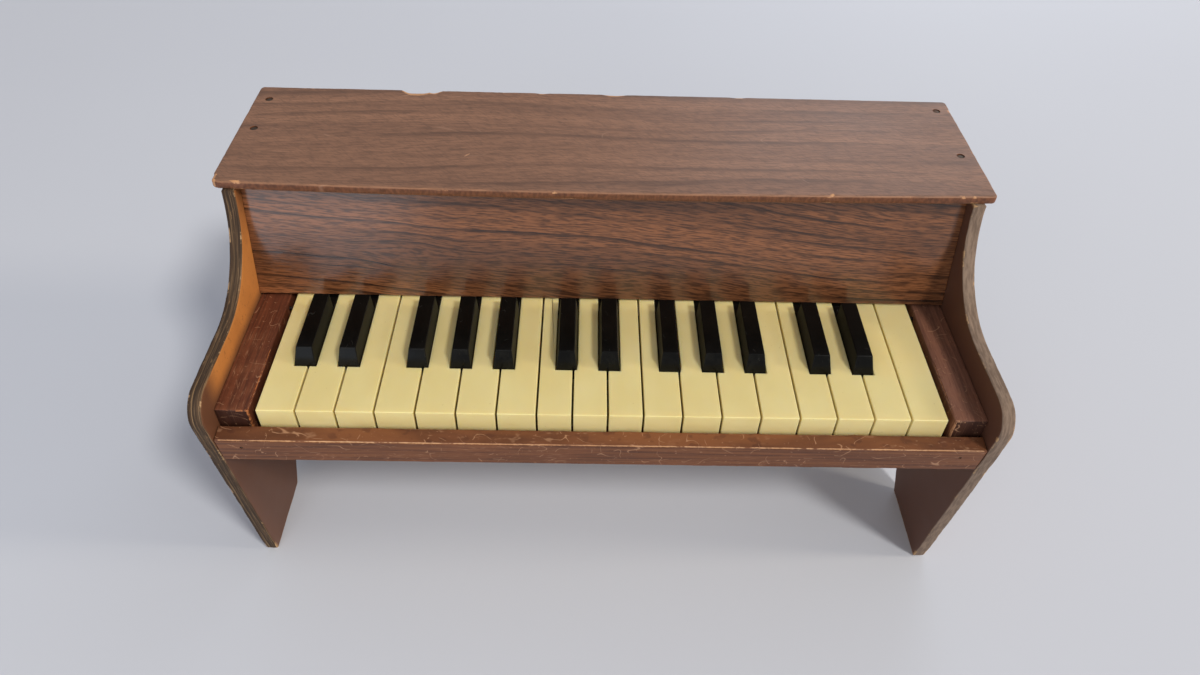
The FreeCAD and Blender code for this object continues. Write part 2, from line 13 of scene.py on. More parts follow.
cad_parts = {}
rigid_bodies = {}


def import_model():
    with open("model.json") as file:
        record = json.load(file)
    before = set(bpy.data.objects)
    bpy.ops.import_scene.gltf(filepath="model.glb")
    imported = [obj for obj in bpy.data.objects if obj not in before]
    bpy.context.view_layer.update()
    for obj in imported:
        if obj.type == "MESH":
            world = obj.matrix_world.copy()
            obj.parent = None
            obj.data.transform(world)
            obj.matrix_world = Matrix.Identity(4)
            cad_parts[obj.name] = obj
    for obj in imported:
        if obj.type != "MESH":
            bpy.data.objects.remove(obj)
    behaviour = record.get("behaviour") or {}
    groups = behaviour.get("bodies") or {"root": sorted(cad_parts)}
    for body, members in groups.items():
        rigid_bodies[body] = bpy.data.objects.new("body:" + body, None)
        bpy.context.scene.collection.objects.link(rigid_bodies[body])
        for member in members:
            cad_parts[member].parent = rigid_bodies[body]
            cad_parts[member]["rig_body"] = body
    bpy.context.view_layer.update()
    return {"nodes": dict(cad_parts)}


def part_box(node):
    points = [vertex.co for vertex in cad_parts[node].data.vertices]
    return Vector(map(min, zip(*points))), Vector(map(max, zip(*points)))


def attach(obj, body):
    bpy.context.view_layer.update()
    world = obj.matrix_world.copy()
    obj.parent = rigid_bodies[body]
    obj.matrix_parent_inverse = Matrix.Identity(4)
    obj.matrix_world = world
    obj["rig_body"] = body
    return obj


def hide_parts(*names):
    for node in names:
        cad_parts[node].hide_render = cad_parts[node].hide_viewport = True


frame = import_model()

MM = 0.001

# How CAD meshes become worked pieces: what counts as one point, flat, sharp or across an axis
SAME_POINT = 0.001 * MM
FLAT_ANGLE = math.radians(0.5)
SHARP_ANGLE = math.radians(35)
ACROSS = 0.99
ROUND_STEPS = 3
X, Y, Z = range(3)

# Radii of rounded edges, and the shortest edge of a key that is rounded
PANEL_EDGE = 0.9 * MM
LID_EDGE = 1.2 * MM
LID_CORNER = 3.0 * MM
RAIL_EDGE = 1.0 * MM
CHEEK_EDGE = 0.8 * MM
BACK_EDGE = 0.4 * MM
CASTING_EDGE = 1.0 * MM
FELT_EDGE = 0.7 * MM
PLAIN_EDGE = 0.5 * MM
KEY_EDGES = {"ivory_plastic": 0.55 * MM, "black_plastic": 0.45 * MM}
LEAST_ROUNDED = 3 * MM

# Distances between the points of an outline, and between the rings along a board
PANEL_POINTS = 3 * MM
PANEL_RINGS = 0.7 * MM
LID_POINTS = 1.5 * MM
LID_RINGS = 0.8 * MM
RAIL_RINGS = 2 * MM
WORN_RINGS = 3 * MM
FELT_RINGS = 1.5 * MM
CLEAT_RINGS = 9 * MM
PLAIN_RINGS = 12 * MM

# Wear along edges: its spacing, how it is mixed, and where it ends
WEAR_BROAD = 16 * MM
WEAR_FINE = 4 * MM
BROAD_SHARE = 0.6
WEAR_CONTRAST = 2.2
CURVE_TURN = math.radians(14)
WEAR_ENDS = 1.6 * MM
ON_FACE = 0.99
FOOT_WEAR_HEIGHT = 14 * MM
FOOT_WEAR_SHARE = 0.8
RUBBED_LENGTH = 48 * MM
RAIL_END = 3 * MM
RAIL_EDGE_BAND = 3 * MM
PLY_THICKNESS = 0.9 * MM
SAW_ROUGHNESS = 0.35 * MM

# Nap of the felt strips: its spacing, and its least and greatest depth
FELT_NAP = 1.5 * MM
FELT_NAP_LEAST = 0.1 * MM
FELT_NAP_MOST = 0.35 * MM

# Places of single marks in the frame
LID_GOUGE = (-87.6 * MM, 38.5 * MM)
FALLBOARD_KNOT = (-124 * MM, 186 * MM)
FALLBOARD_GRAIN_DEGREES = 5.0
KEY_TOP = 155.5 * MM
# Key sides and fronts from 5 to 12 mm below the tops are darkened: grime, and painted shade between the
# keys
KEY_GRIME_AND_SHADE = (-12 * MM, -5 * MM)

# Painted light inside the left panel: the lit orange begins above the keys and behind the arm, and painted
# shade darkens it towards the lid
PAINTED_LIGHT_LOW = (KEY_TOP - 4 * MM, KEY_TOP + 8 * MM)
PAINTED_LIGHT_FRONT = (-106 * MM, -82 * MM)
PAINTED_LIGHT_TOP = (190 * MM, 224 * MM)

# Tops of the black caps: how far their rear edge is moved back, and a line between front and rear
CAP_REACH = 3.2 * MM
CAP_MIDDLE = -30 * MM

# Flakes out of the lid's edge: side, X of the middle, half length, depth, and height that they reach down
LID_FLAKES = [
    ("back", -129.5 * MM, 11.0 * MM, 6.0 * MM, 2.8 * MM),
    ("back", -118.5 * MM, 5.5 * MM, 3.4 * MM, 30.0 * MM),
    ("back", -44.0 * MM, 5.0 * MM, 0.8 * MM, 30.0 * MM),
    ("back", 6.0 * MM, 9.0 * MM, 1.3 * MM, 30.0 * MM),
    ("back", 92.0 * MM, 6.0 * MM, 0.9 * MM, 30.0 * MM),
    ("front", 135.5 * MM, 1.7 * MM, 1.1 * MM, 2.4 * MM),
    ("front", -235.5 * MM, 3.0 * MM, 0.9 * MM, 30.0 * MM),
]
LID_SIDE_REACH = 12 * MM
FLAKE_SHOWS = 1.2 * MM
RAGGED_LEAST = 0.75
RAGGED_MOST = 1.25

# Nails, screws and tone rods: sizes, shares of their heads and radii, and how they lie
NAIL_HEAD_HEIGHT = 1.0 * MM
LID_PIT_RADIUS = 2.6 * MM
RAIL_PIT_RADIUS = 1.0 * MM
RAIL_PIT_DEPTH = 1.4 * MM
ROD_CHAMFER = 0.6 * MM
ROD_TIP_SHARE = 0.6
DOME_SHARE = 0.96
SHANK_START_SHARE = 0.5
SLOT_SPAN_SHARE = 2.4
SCREW_SLOT_TURN = math.radians(35)
STAND_UPRIGHT = (0.0, 0.0, 0.0)
LIE_FORWARD = (math.radians(-90), 0.0, 0.0)
LIE_BACK = (math.radians(90), 0.0, 0.0)

# Sides of round shapes
NAIL_SIDES = 24
NAIL_SHANK_SIDES = 16
SCREW_SIDES = 32
SCREW_SHANK_SIDES = 20
DOME_RINGS = 9
ROD_SIDES = 12
PIT_SIDES = 24
FLOOR_SIDES = 96

# Light of the room, brighter towards one side
ROOM_TONE = (232, 232, 238)
ROOM_FRONT = (0.75, -0.60, 0.28)
ROOM_SPAN = (-0.6, 0.9)
ROOM_STRENGTH = (0.38, 0.56)

# Floor and lamps
FLOOR_RADIUS = 30.0
CASE_MIDDLE = Vector((0.0, 0.0, 0.15))
FAR_LIGHT_PLACE = 4.0
SUNLIGHT = (1.0, 0.96, 0.89)
LOW_SUNLIGHT = (1.0, 0.88, 0.70)
SKYLIGHT = (0.86, 0.92, 1.0)
WARM_CARD = (1.0, 0.97, 0.93)
COOL_CARD = (0.80, 0.89, 1.0)

# Camera, placed as the photograph was taken
CAMERA_PLACE = (-0.013557, -0.430231, 0.536475)
CAMERA_TURN_DEGREES = (45.614, -1.506, -0.1525)
SENSOR_WIDTH_MM = 36.0
LENS_MM = 26.1


def tone(red, green, blue):
    """A shader colour from its 8 bit display levels."""
    linear = []
    for level in (red, green, blue):
        share = level / 255
        linear.append(share / 12.92 if share <= 0.04045 else ((share + 0.055) / 1.055) ** 2.4)
    return (*linear, 1.0)


class Graph:
    """A node tree with a short way to add a node and set or link its inputs."""

    def __init__(self, tree):
        self.tree = tree

    def add(self, kind, inputs=None, **settings):
        node = self.tree.nodes.new(kind)
        for name, value in settings.items():
            setattr(node, name, value)
        for key, value in (inputs or {}).items():
            if isinstance(value, bpy.types.NodeSocket):
                self.tree.links.new(value, node.inputs[key])
            else:
                node.inputs[key].default_value = value
        return node


class Finish(Graph):
    """A procedural material on Object coordinates, which are the frame's own metres."""

    def __init__(self, name):
        self.material = bpy.data.materials.new(name)
        self.material.use_nodes = True
        super().__init__(self.material.node_tree)
        self.tree.nodes.clear()
        source = self.add("ShaderNodeTexCoord")
        self.place = source.outputs["Object"]
        self.facing = source.outputs["Normal"]

    def calc(self, operation, first, second=0.0):
        return self.add("ShaderNodeMath", {0: first, 1: second}, operation=operation).outputs[0]

    def plus(self, first, second):
        return self.calc("ADD", first, second)

    def less(self, first, second):
        return self.calc("SUBTRACT", first, second)

    def times(self, first, second):
        return self.calc("MULTIPLY", first, second)

    def most(self, first, second):
        return self.calc("MAXIMUM", first, second)

    def axis(self, vector, name):
        return self.add("ShaderNodeSeparateXYZ", {0: vector}).outputs[name]

    def size_of(self, value):
        return self.calc("ABSOLUTE", value)

    def mark(self, name):
        """A number that the mesh carries at its corners."""
        return self.add("ShaderNodeAttribute", attribute_name=name).outputs["Fac"]

    def vector(self, first, second, third=0.0):
        return self.add("ShaderNodeCombineXYZ", {0: first, 1: second, 2: third}).outputs[0]

    def plane(self, along, across):
        """The place as (along the grain, across the grain, 0), from the names of two axes."""
        return self.vector(self.axis(self.place, along), self.axis(self.place, across))

    def turned(self, plane, degrees):
        node = self.add(
            "ShaderNodeVectorRotate",
            {"Vector": plane, "Angle": math.radians(degrees)},
            rotation_type="Z_AXIS",
        )
        return node.outputs[0]

    def bent(self, plane, size, swing, seed=0.0):
        """The plane with its second axis pushed to and fro by up to half the swing."""
        push = self.less(self.marks(plane, size, seed, 1.0), 0.5)
        offset = self.vector(0.0, self.times(push, swing))
        return self.add("ShaderNodeVectorMath", {0: plane, 1: offset}, operation="ADD").outputs[0]

    def marks(self, place, size, seed=0.0, detail=2.0, roughness=0.5, turn=0.0):
        """Noise from 0 to 1 whose marks are about as large as size, turned by degrees about Z."""
        laid = self.add(
            "ShaderNodeMapping",
            {
                "Vector": place,
                "Location": (seed, seed, seed),
                "Rotation": (0.0, 0.0, math.radians(turn)),
                "Scale": size,
            },
            vector_type="TEXTURE",
        )
        spots = self.add(
            "ShaderNodeTexNoise",
            {"Vector": laid.outputs[0], "Scale": 1.0, "Detail": detail, "Roughness": roughness},
        )
        return spots.outputs[0]

    def between(self, value, low, high):
        """0 below low and 1 above high, with a smooth rise from one to the other."""
        node = self.add("ShaderNodeMapRange", {0: value, 1: low, 2: high}, interpolation_type="SMOOTHSTEP")
        return node.outputs[0]

    def mix(self, share, first, second, how="MIX"):
        node = self.add(
            "ShaderNodeMix", {0: share, 6: first, 7: second}, data_type="RGBA", blend_type=how
        )
        return node.outputs[2]

    def tinted(self, colour, share, amount, tint):
        """The colour, turned towards a tint by that amount where the share is 1."""
        return self.mix(self.times(share, amount), colour, tint)

    def ramp(self, value, stops):
        """A colour ramp through (place, colour) stops."""
        node = self.add("ShaderNodeValToRGB", {0: value})
        band = node.color_ramp
        while len(band.elements) < len(stops):
            band.elements.new(1.0)
        for element, (place, colour) in zip(band.elements, stops):
            element.position = place
            element.color = colour
        return node.outputs[0]

    def hairlines(self, place, size, width, amount, seed):
        """Thin curved scratches, broken into short lengths, more of them as amount rises."""
        field = self.marks(place, size, seed, 1.0, 0.4)
        line = self.size_of(self.less(field, 0.5))
        line = self.less(1.0, self.between(line, 0.25 * width, width))
        broken = self.marks(place, tuple(0.45 * side for side in size), seed + 0.53, 1.0, 0.4)
        return self.times(line, self.between(broken, 0.66 - amount, 0.72 - amount))

    def spot(self, plane, middle, radii, degrees=0.0):
        """1 in the middle of an oval on the plane, falling to 0 at its rim."""
        laid = self.add(
            "ShaderNodeMapping",
            {
                "Vector": plane,
                "Location": (*middle, 0.0),
                "Rotation": (0.0, 0.0, math.radians(degrees)),
                "Scale": (*radii, 1.0),
            },
            vector_type="TEXTURE",
        )
        reach = self.add("ShaderNodeVectorMath", {0: laid.outputs[0]}, operation="LENGTH").outputs["Value"]
        return self.less(1.0, self.between(reach, 0.0, 1.0))

    def surface(self, colour, roughness, height=None, depth=0.0, **constants):
        shader = self.add("ShaderNodeBsdfPrincipled", {"Base Color": colour, "Roughness": roughness})
        for name, value in constants.items():
            shader.inputs[name.replace("_", " ")].default_value = value
        if height is not None:
            bump = self.add("ShaderNodeBump", {"Height": height, "Distance": depth, "Strength": 1.0})
            self.tree.links.new(bump.outputs[0], shader.inputs["Normal"])
        output = self.add("ShaderNodeOutputMaterial")
        self.tree.links.new(shader.outputs[0], output.inputs[0])
        return self.material


# Finishes


def woodgrain(finish, plane, tones, spacing, contrast, seed):
    """Printed walnut figure along the plane's first axis: (colour, height of the surface from 0 to 1).

    Growth lines about a spacing apart darken slowly and end sharply, with fine strokes between them.
    """
    light, middle, dark = tones
    figure = finish.bent(plane, (0.34, 0.11, 1.0), 0.045, seed)
    figure = finish.bent(figure, (0.045, 0.014, 1.0), 0.0024, seed + 0.4)
    uneven = finish.marks(figure, (0.60, 3.0 * spacing, 1.0), seed + 0.9, 1.0)
    growth = finish.calc("DIVIDE", finish.axis(figure, "Y"), spacing)
    ring = finish.calc("FRACT", finish.plus(growth, finish.times(uneven, 2.2)))
    line = finish.times(finish.between(ring, 0.48, 0.88), finish.less(1.0, finish.between(ring, 0.91, 1.0)))
    strong = finish.marks(figure, (0.16, 0.9 * spacing, 1.0), seed + 0.17)
    line = finish.times(line, finish.plus(0.15, finish.times(finish.between(strong, 0.40, 0.66), 0.85)))
    bands = finish.between(finish.marks(figure, (0.60, 0.022, 1.0), seed), 0.30, 0.70)
    strokes = finish.between(finish.marks(figure, (0.011, 0.0008, 1.0), seed + 0.23, 2.0, 0.6), 0.42, 0.62)
    colour = finish.mix(bands, middle, light)
    colour = finish.tinted(colour, strokes, 0.60 * contrast, dark)
    colour = finish.tinted(colour, line, 0.75 * contrast, dark)
    return colour, finish.less(1.0, finish.times(strokes, 0.8))


def bared(finish, colour, wood, low=0.42, high=0.62):
    """The colour rubbed through to the wood where the mesh is worn."""
    ragged = finish.marks(finish.place, (0.0022, 0.0022, 0.0022), 0.7, 3.0, 0.6)
    worn = finish.plus(finish.mark("worn"), finish.times(finish.less(ragged, 0.5), 0.9))
    return finish.mix(finish.between(worn, low, high), colour, wood)


def lid_veneer():
    """Satin print with soft lines and slanted flecks, on a board whose rim is stained."""
    finish = Finish("lid_veneer")
    plane = finish.plane("X", "Y")
    tones = (tone(149, 109, 85), tone(128, 93, 73), tone(58, 42, 36))
    colour, height = woodgrain(finish, plane, tones, 15 * MM, 0.60, 0.0)
    flecks = finish.between(finish.marks(plane, (0.0050, 0.0010, 1.0), 0.3, 2.0, 0.5, -36), 0.50, 0.66)
    colour = finish.tinted(colour, flecks, 0.30, tone(74, 56, 48))
    upright = finish.size_of(finish.axis(finish.facing, "Z"))
    rim = finish.less(1.0, finish.between(upright, 0.30, 0.80))
    rim_fibres = finish.marks(finish.place, (0.0018, 0.02, 0.0030), 0.4, 3.0)
    rim_colour = finish.mix(finish.between(rim_fibres, 0.3, 0.7), tone(88, 52, 33), tone(122, 76, 50))
    colour = finish.mix(rim, colour, rim_colour)
    # The rounded edges are lightened in patches: partly wear, partly a painted highlight
    flat = finish.between(upright, 0.90, 0.99)
    arris = finish.times(finish.between(upright, 0.20, 0.45), finish.less(1.0, flat))
    patches = finish.between(finish.marks(finish.place, (0.02, 0.02, 0.02), 0.9), 0.25, 0.6)
    arris = finish.times(arris, patches)
    colour = finish.tinted(colour, arris, 0.30, tone(180, 128, 90))
    colour = bared(finish, colour, finish.mix(rim_fibres, tone(176, 122, 84), tone(208, 160, 114)))
    gouge = finish.spot(plane, LID_GOUGE, (4.5 * MM, 1.0 * MM), 50)
    gouge = finish.between(finish.plus(gouge, finish.times(height, 0.2)), 0.45, 0.70)
    colour = finish.tinted(colour, gouge, 0.7, tone(188, 142, 108))
    hairs = finish.hairlines(plane, (0.05, 0.03, 1.0), 0.006, 0.05, 0.3)
    colour = finish.tinted(colour, hairs, 0.25, tone(176, 140, 116))
    smear = finish.marks(finish.place, (0.09, 0.05, 0.05), 0.6)
    roughness = finish.plus(0.40, finish.times(smear, 0.14))
    return finish.surface(colour, roughness, finish.less(height, gouge), 0.03 * MM, Specular_IOR_Level=0.4)


def fallboard_veneer():
    """Darker, glossier print whose lines run down to the right and open round a knot."""
    finish = Finish("fallboard_veneer")
    plane = finish.turned(finish.plane("X", "Z"), FALLBOARD_GRAIN_DEGREES)
    knot = Vector((*FALLBOARD_KNOT, 0.0))
    knot.rotate(Euler((0.0, 0.0, math.radians(FALLBOARD_GRAIN_DEGREES))))
    eye = finish.spot(plane, knot.xy, (48 * MM, 17 * MM))
    aside = finish.less(finish.axis(plane, "Y"), knot.y)
    spread = finish.vector(0.0, finish.times(finish.times(aside, eye), -0.72))
    opened = finish.add("ShaderNodeVectorMath", {0: plane, 1: spread}, operation="ADD").outputs[0]
    tones = (tone(146, 93, 58), tone(106, 67, 43), tone(30, 20, 16))
    colour, height = woodgrain(finish, opened, tones, 6.4 * MM, 1.10, 0.7)
    core = finish.spot(plane, knot.xy, (9 * MM, 4 * MM), -20)
    swirl = finish.marks(plane, (0.006, 0.002, 1.0), 0.2, 3.0, 0.6, -25)
    core = finish.times(finish.between(core, 0.15, 0.75), finish.between(swirl, 0.35, 0.6))
    colour = finish.tinted(colour, core, 0.6, tone(58, 38, 30))
    smear = finish.marks(finish.place, (0.08, 0.05, 0.03), 0.2)
    roughness = finish.plus(0.13, finish.times(smear, 0.10))
    return finish.surface(colour, roughness, height, 0.02 * MM, Specular_IOR_Level=0.65)


def panel_plywood():
    """Stained inner faces with painted light and painted shade, printed outer faces, and edges that show
    the layers of the sheet.
    """
    finish = Finish("panel_plywood")
    low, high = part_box("side_panel_right")
    sideways = finish.axis(finish.place, "X")
    strip = finish.vector(finish.mark("run"), finish.size_of(sideways))
    wander = finish.less(finish.marks(strip, (0.030, 0.0030, 1.0), 0.5, 3.0, 0.6), 0.5)
    across = finish.plus(finish.size_of(sideways), finish.times(wander, 1.6 * MM))
    depth = finish.calc("DIVIDE", finish.less(across, low.x), high.x - low.x)
    layers = finish.ramp(
        depth,
        [
            (0.00, tone(96, 60, 38)),
            (0.05, tone(134, 104, 72)),
            (0.11, tone(112, 86, 60)),
            (0.16, tone(78, 58, 40)),
            (0.40, tone(104, 80, 56)),
            (0.60, tone(70, 52, 36)),
            (0.66, tone(136, 108, 76)),
            (0.72, tone(110, 85, 59)),
            (0.77, tone(80, 58, 40)),
            (1.00, tone(60, 42, 30)),
        ],
    )
    streaks = finish.marks(strip, (0.030, 0.0006, 1.0), 0.3, 3.0, 0.6)
    splinters = finish.marks(strip, (0.024, 0.0005, 1.0), 0.65, 3.0, 0.6)
    torn = finish.marks(strip, (0.008, 0.0014, 1.0), 0.8, 4.0, 0.65)
    edge = finish.tinted(layers, finish.between(streaks, 0.33, 0.57), 0.85, tone(46, 34, 25))
    edge = finish.tinted(edge, finish.between(splinters, 0.56, 0.72), 0.60, tone(152, 126, 96))
    edge = finish.tinted(edge, finish.between(torn, 0.60, 0.72), 0.50, tone(156, 122, 84))
    right = finish.between(sideways, -0.1, 0.1)
    pale = finish.mix(finish.between(torn, 0.36, 0.66), tone(144, 123, 106), tone(112, 94, 81))
    edge = finish.tinted(edge, right, 0.84, pale)
    edge = bared(finish, edge, tone(176, 142, 104), 0.55, 0.80)
    clouds = finish.marks(finish.place, (0.03, 0.03, 0.06), 0.8, 4.0, 0.6)
    # Painted light: the left inner face is painted a lit orange above the keys and behind the arm, and
    # painted shade darkens it under the lid
    level = finish.axis(finish.place, "Z")
    above = finish.between(level, *PAINTED_LIGHT_LOW)
    behind = finish.between(finish.axis(finish.place, "Y"), *PAINTED_LIGHT_FRONT)
    under = finish.less(1.0, finish.times(finish.between(level, *PAINTED_LIGHT_TOP), 0.6))
    fading_and_painted_light = finish.times(finish.times(above, behind), finish.times(under, finish.less(1.0, right)))
    # Painted shade: the right inner face is painted darker than the left one
    inner = finish.mix(right, tone(106, 69, 48), tone(92, 61, 47))
    inner = finish.mix(fading_and_painted_light, inner, tone(208, 134, 68))
    inner = finish.tinted(inner, finish.between(clouds, 0.30, 0.70), 0.22, tone(92, 54, 34))
    specks = finish.marks(finish.place, (0.0016, 0.0016, 0.0024), 0.4, 2.0)
    inner = finish.tinted(inner, finish.between(specks, 0.60, 0.74), 0.35, tone(104, 60, 38))
    tones = (tone(146, 108, 88), tone(126, 92, 74), tone(66, 48, 40))
    outer, height = woodgrain(finish, finish.plane("Z", "Y"), tones, 11 * MM, 0.55, 1.3)
    facing = finish.axis(finish.facing, "X")
    outward = finish.between(finish.times(facing, sideways), 0.0, 0.01)
    colour = finish.mix(outward, inner, outer)
    colour = bared(finish, colour, tone(150, 112, 78), 0.62, 0.90)
    face = finish.between(finish.size_of(facing), 0.66, 0.92)
    colour = finish.mix(face, edge, colour)
    smear = finish.marks(finish.place, (0.05, 0.05, 0.03), 0.8)
    roughness = finish.plus(0.40, finish.times(smear, 0.18))
    roughness = finish.plus(roughness, finish.times(finish.less(1.0, face), 0.35))
    rough_edge = finish.plus(finish.times(streaks, 0.6), finish.times(torn, 0.5))
    relief = finish.mix(face, rough_edge, finish.times(height, finish.times(outward, 0.12)))
    return finish.surface(colour, roughness, relief, 0.25 * MM, Specular_IOR_Level=0.35)


def worn_stain(name, along, across, light, dark, wood, seed):
    """Red-brown stain, scratched, speckled and rubbed through to bare wood at its edges."""
    finish = Finish(name)
    plane = finish.plane(along, across)
    streaks = finish.marks(finish.bent(plane, (0.1, 0.02, 1.0), 0.004), (0.09, 0.0022, 1.0), seed, 3.0, 0.6)
    colour = finish.mix(finish.between(streaks, 0.30, 0.70), light, dark)
    pores = finish.marks(plane, (0.007, 0.0006, 1.0), seed + 0.4, 1.0)
    colour = finish.tinted(colour, finish.between(pores, 0.58, 0.70), 0.4, tone(66, 34, 26))
    fading_and_painted_light = finish.marks(finish.place, (0.06, 0.03, 0.03), seed + 0.2, 4.0, 0.6)
    colour = finish.tinted(colour, finish.between(fading_and_painted_light, 0.48, 0.72), 0.42, tone(134, 84, 56))
    # End faces are painted much darker: end grain that takes more stain, and painted shade
    end = finish.between(finish.size_of(finish.axis(finish.facing, along)), 0.5, 0.9)
    colour = finish.tinted(colour, end, 0.82, tone(44, 24, 18))
    specks = finish.marks(finish.place, (0.0026, 0.0016, 0.0016), seed + 0.5, 3.0, 0.6)
    specks = finish.between(specks, 0.66, 0.72)
    hairs = finish.hairlines(finish.place, (0.026, 0.015, 0.015), 0.006, 0.14, seed + 0.1)
    short_hairs = finish.hairlines(finish.place, (0.012, 0.016, 0.016), 0.007, 0.10, seed + 0.9)
    hairs = finish.most(hairs, short_hairs)
    scuffs = finish.between(finish.marks(plane, (0.009, 0.0006, 1.0), seed + 0.7, 2.0, 0.6), 0.60, 0.72)
    scuffs = finish.times(scuffs, finish.between(fading_and_painted_light, 0.40, 0.60))
    marked = finish.most(finish.times(specks, 0.45), finish.times(hairs, 0.55))
    marked = finish.most(marked, finish.times(scuffs, 0.35))
    colour = finish.mix(marked, colour, tone(190, 146, 112))
    colour = bared(finish, colour, finish.mix(streaks, wood, tone(150, 94, 58)))
    roughness = finish.plus(0.38, finish.times(fading_and_painted_light, 0.24))
    relief = finish.less(streaks, marked)
    return finish.surface(colour, roughness, relief, 0.05 * MM, Specular_IOR_Level=0.25)


def bare_wood():
    finish = Finish("bare_wood")
    tones = (tone(206, 172, 126), tone(190, 152, 106), tone(140, 100, 64))
    colour, height = woodgrain(finish, finish.plane("X", "Y"), tones, 6 * MM, 0.7, 0.4)
    return finish.surface(colour, 0.7, height, 0.06 * MM)


def back_hardboard():
    finish = Finish("back_hardboard")
    fibres = finish.marks(finish.place, (0.0016, 0.0016, 0.0007), 0.1, 3.0, 0.6)
    clouds = finish.marks(finish.place, (0.06, 0.06, 0.05), 0.6, 3.0)
    colour = finish.mix(finish.between(fibres, 0.35, 0.65), tone(104, 72, 50), tone(124, 88, 61))
    colour = finish.tinted(colour, finish.between(clouds, 0.45, 0.75), 0.35, tone(84, 56, 40))
    colour = bared(finish, colour, tone(158, 118, 82))
    return finish.surface(colour, 0.62, fibres, 0.08 * MM)


def ivory_plastic():
    finish = Finish("ivory_plastic")
    clouds = finish.marks(finish.place, (0.03, 0.05, 0.02), 0.3, 2.0)
    colour = finish.mix(finish.between(clouds, 0.30, 0.70), tone(230, 213, 153), tone(225, 206, 143))
    # Below the key tops, the sides in the gaps and the lower fronts are darkened: partly grime, partly
    # painted shade between the keys
    lifted = finish.less(finish.axis(finish.place, "Z"), KEY_TOP)
    grime_and_shade_marks = finish.marks(finish.place, (0.02, 0.006, 0.006), 0.5)
    grime_and_shade = finish.times(finish.between(grime_and_shade_marks, 0.4, 0.8), 0.2)
    low = finish.less(1.0, finish.between(lifted, *KEY_GRIME_AND_SHADE))
    colour = finish.tinted(colour, low, finish.plus(0.10, grime_and_shade), tone(178, 152, 100))
    specks = finish.marks(finish.place, (0.0016, 0.0016, 0.0016), 0.8, 1.0)
    colour = finish.tinted(colour, finish.between(specks, 0.77, 0.80), 0.3, tone(150, 112, 66))
    hairs = finish.hairlines(finish.place, (0.012, 0.03, 0.02), 0.010, 0.10, 0.2)
    roughness = finish.plus(0.32, finish.times(clouds, 0.06))
    roughness = finish.plus(roughness, finish.times(hairs, 0.2))
    return finish.surface(
        colour,
        roughness,
        hairs,
        -0.01 * MM,
        Subsurface_Weight=0.6,
        Subsurface_Scale=5 * MM,
        Subsurface_Radius=(1.0, 0.85, 0.55),
    )


def black_plastic():
    finish = Finish("black_plastic")
    dust = finish.marks(finish.place, (0.008, 0.014, 0.008), 0.4, 5.0, 0.7)
    # Front faces get more of the light grey: partly dust, partly a painted sheen
    front = finish.between(finish.times(finish.axis(finish.facing, "Y"), -1.0), 0.5, 0.9)
    share = finish.times(finish.between(dust, 0.40, 0.75), finish.plus(0.06, finish.times(front, 0.12)))
    colour = finish.mix(share, tone(8, 8, 7), tone(48, 47, 40))
    hairs = finish.hairlines(finish.place, (0.010, 0.016, 0.008), 0.006, 0.06, 0.9)
    colour = finish.tinted(colour, hairs, 0.12, tone(96, 96, 90))
    sides = finish.between(finish.size_of(finish.axis(finish.facing, "X")), 0.5, 0.9)
    dull = finish.plus(dust, finish.times(sides, 2.4))
    roughness = finish.plus(0.15, finish.times(dull, 0.14))
    roughness = finish.plus(roughness, finish.times(hairs, 0.2))
    return finish.surface(colour, roughness, hairs, -0.02 * MM, Specular_IOR_Level=0.16)


def steel(name, light, dark, roughness, rust):
    finish = Finish(name)
    spots = finish.marks(finish.place, (0.004, 0.004, 0.004), 0.2, 4.0, 0.6)
    colour = finish.mix(spots, dark, light)
    stained = finish.between(spots, 0.75 - rust, 0.95 - rust)
    colour = finish.tinted(colour, stained, 0.8, tone(92, 58, 38))
    shine = finish.plus(roughness, finish.times(spots, 0.2))
    return finish.surface(colour, shine, spots, 0.03 * MM, Metallic=0.85)


def cast_metal():
    finish = Finish("cast_metal")
    grit = finish.marks(finish.place, (0.0012, 0.0012, 0.0012), 0.2, 3.0, 0.6)
    colour = finish.mix(grit, tone(58, 58, 60), tone(98, 98, 98))
    return finish.surface(colour, 0.55, grit, 0.15 * MM, Metallic=0.6)


def wool_felt():
    finish = Finish("wool_felt")
    fibres = finish.marks(finish.place, (0.0030, 0.0004, 0.0004), 0.2, 4.0, 0.7, 20)
    colour = finish.mix(fibres, tone(88, 28, 30), tone(140, 52, 50))
    return finish.surface(colour, 0.95, fibres, 0.3 * MM, Sheen_Weight=0.4)


FINISHES = {
    "lid_wood": lid_veneer(),
    "fallboard_wood": fallboard_veneer(),
    "side_wood": panel_plywood(),
    "inner_wood": bare_wood(),
    "hardboard": back_hardboard(),
    "ivory_plastic": ivory_plastic(),
    "black_plastic": black_plastic(),
    "bright_steel": steel("bright_steel", tone(196, 196, 192), tone(150, 150, 148), 0.22, 0.05),
    "dark_steel": steel("dark_steel", tone(112, 98, 86), tone(64, 54, 47), 0.45, 0.25),
    "cast_bar": cast_metal(),
    "felt": wool_felt(),
}
OILED_STEEL = steel("oiled_steel", tone(60, 54, 48), tone(34, 30, 27), 0.40, 0.20)
RAIL_STAIN = worn_stain(
    "rail_stain", "X", "Z", tone(124, 77, 47), tone(86, 51, 33), tone(222, 182, 138), 0.1
)
CHEEK_STAINS = {
    "left": worn_stain(
        "left_cheek_stain", "Y", "X", tone(106, 58, 38), tone(72, 38, 26), tone(196, 122, 68), 0.6
    ),
    "right": worn_stain(
        "right_cheek_stain", "Y", "X", tone(130, 88, 69), tone(98, 65, 52), tone(196, 150, 112), 0.2
    ),
}


# Forms made from the frame's own shapes


def slot_of(node):
    return frame["nodes"][node].data.materials[0].name


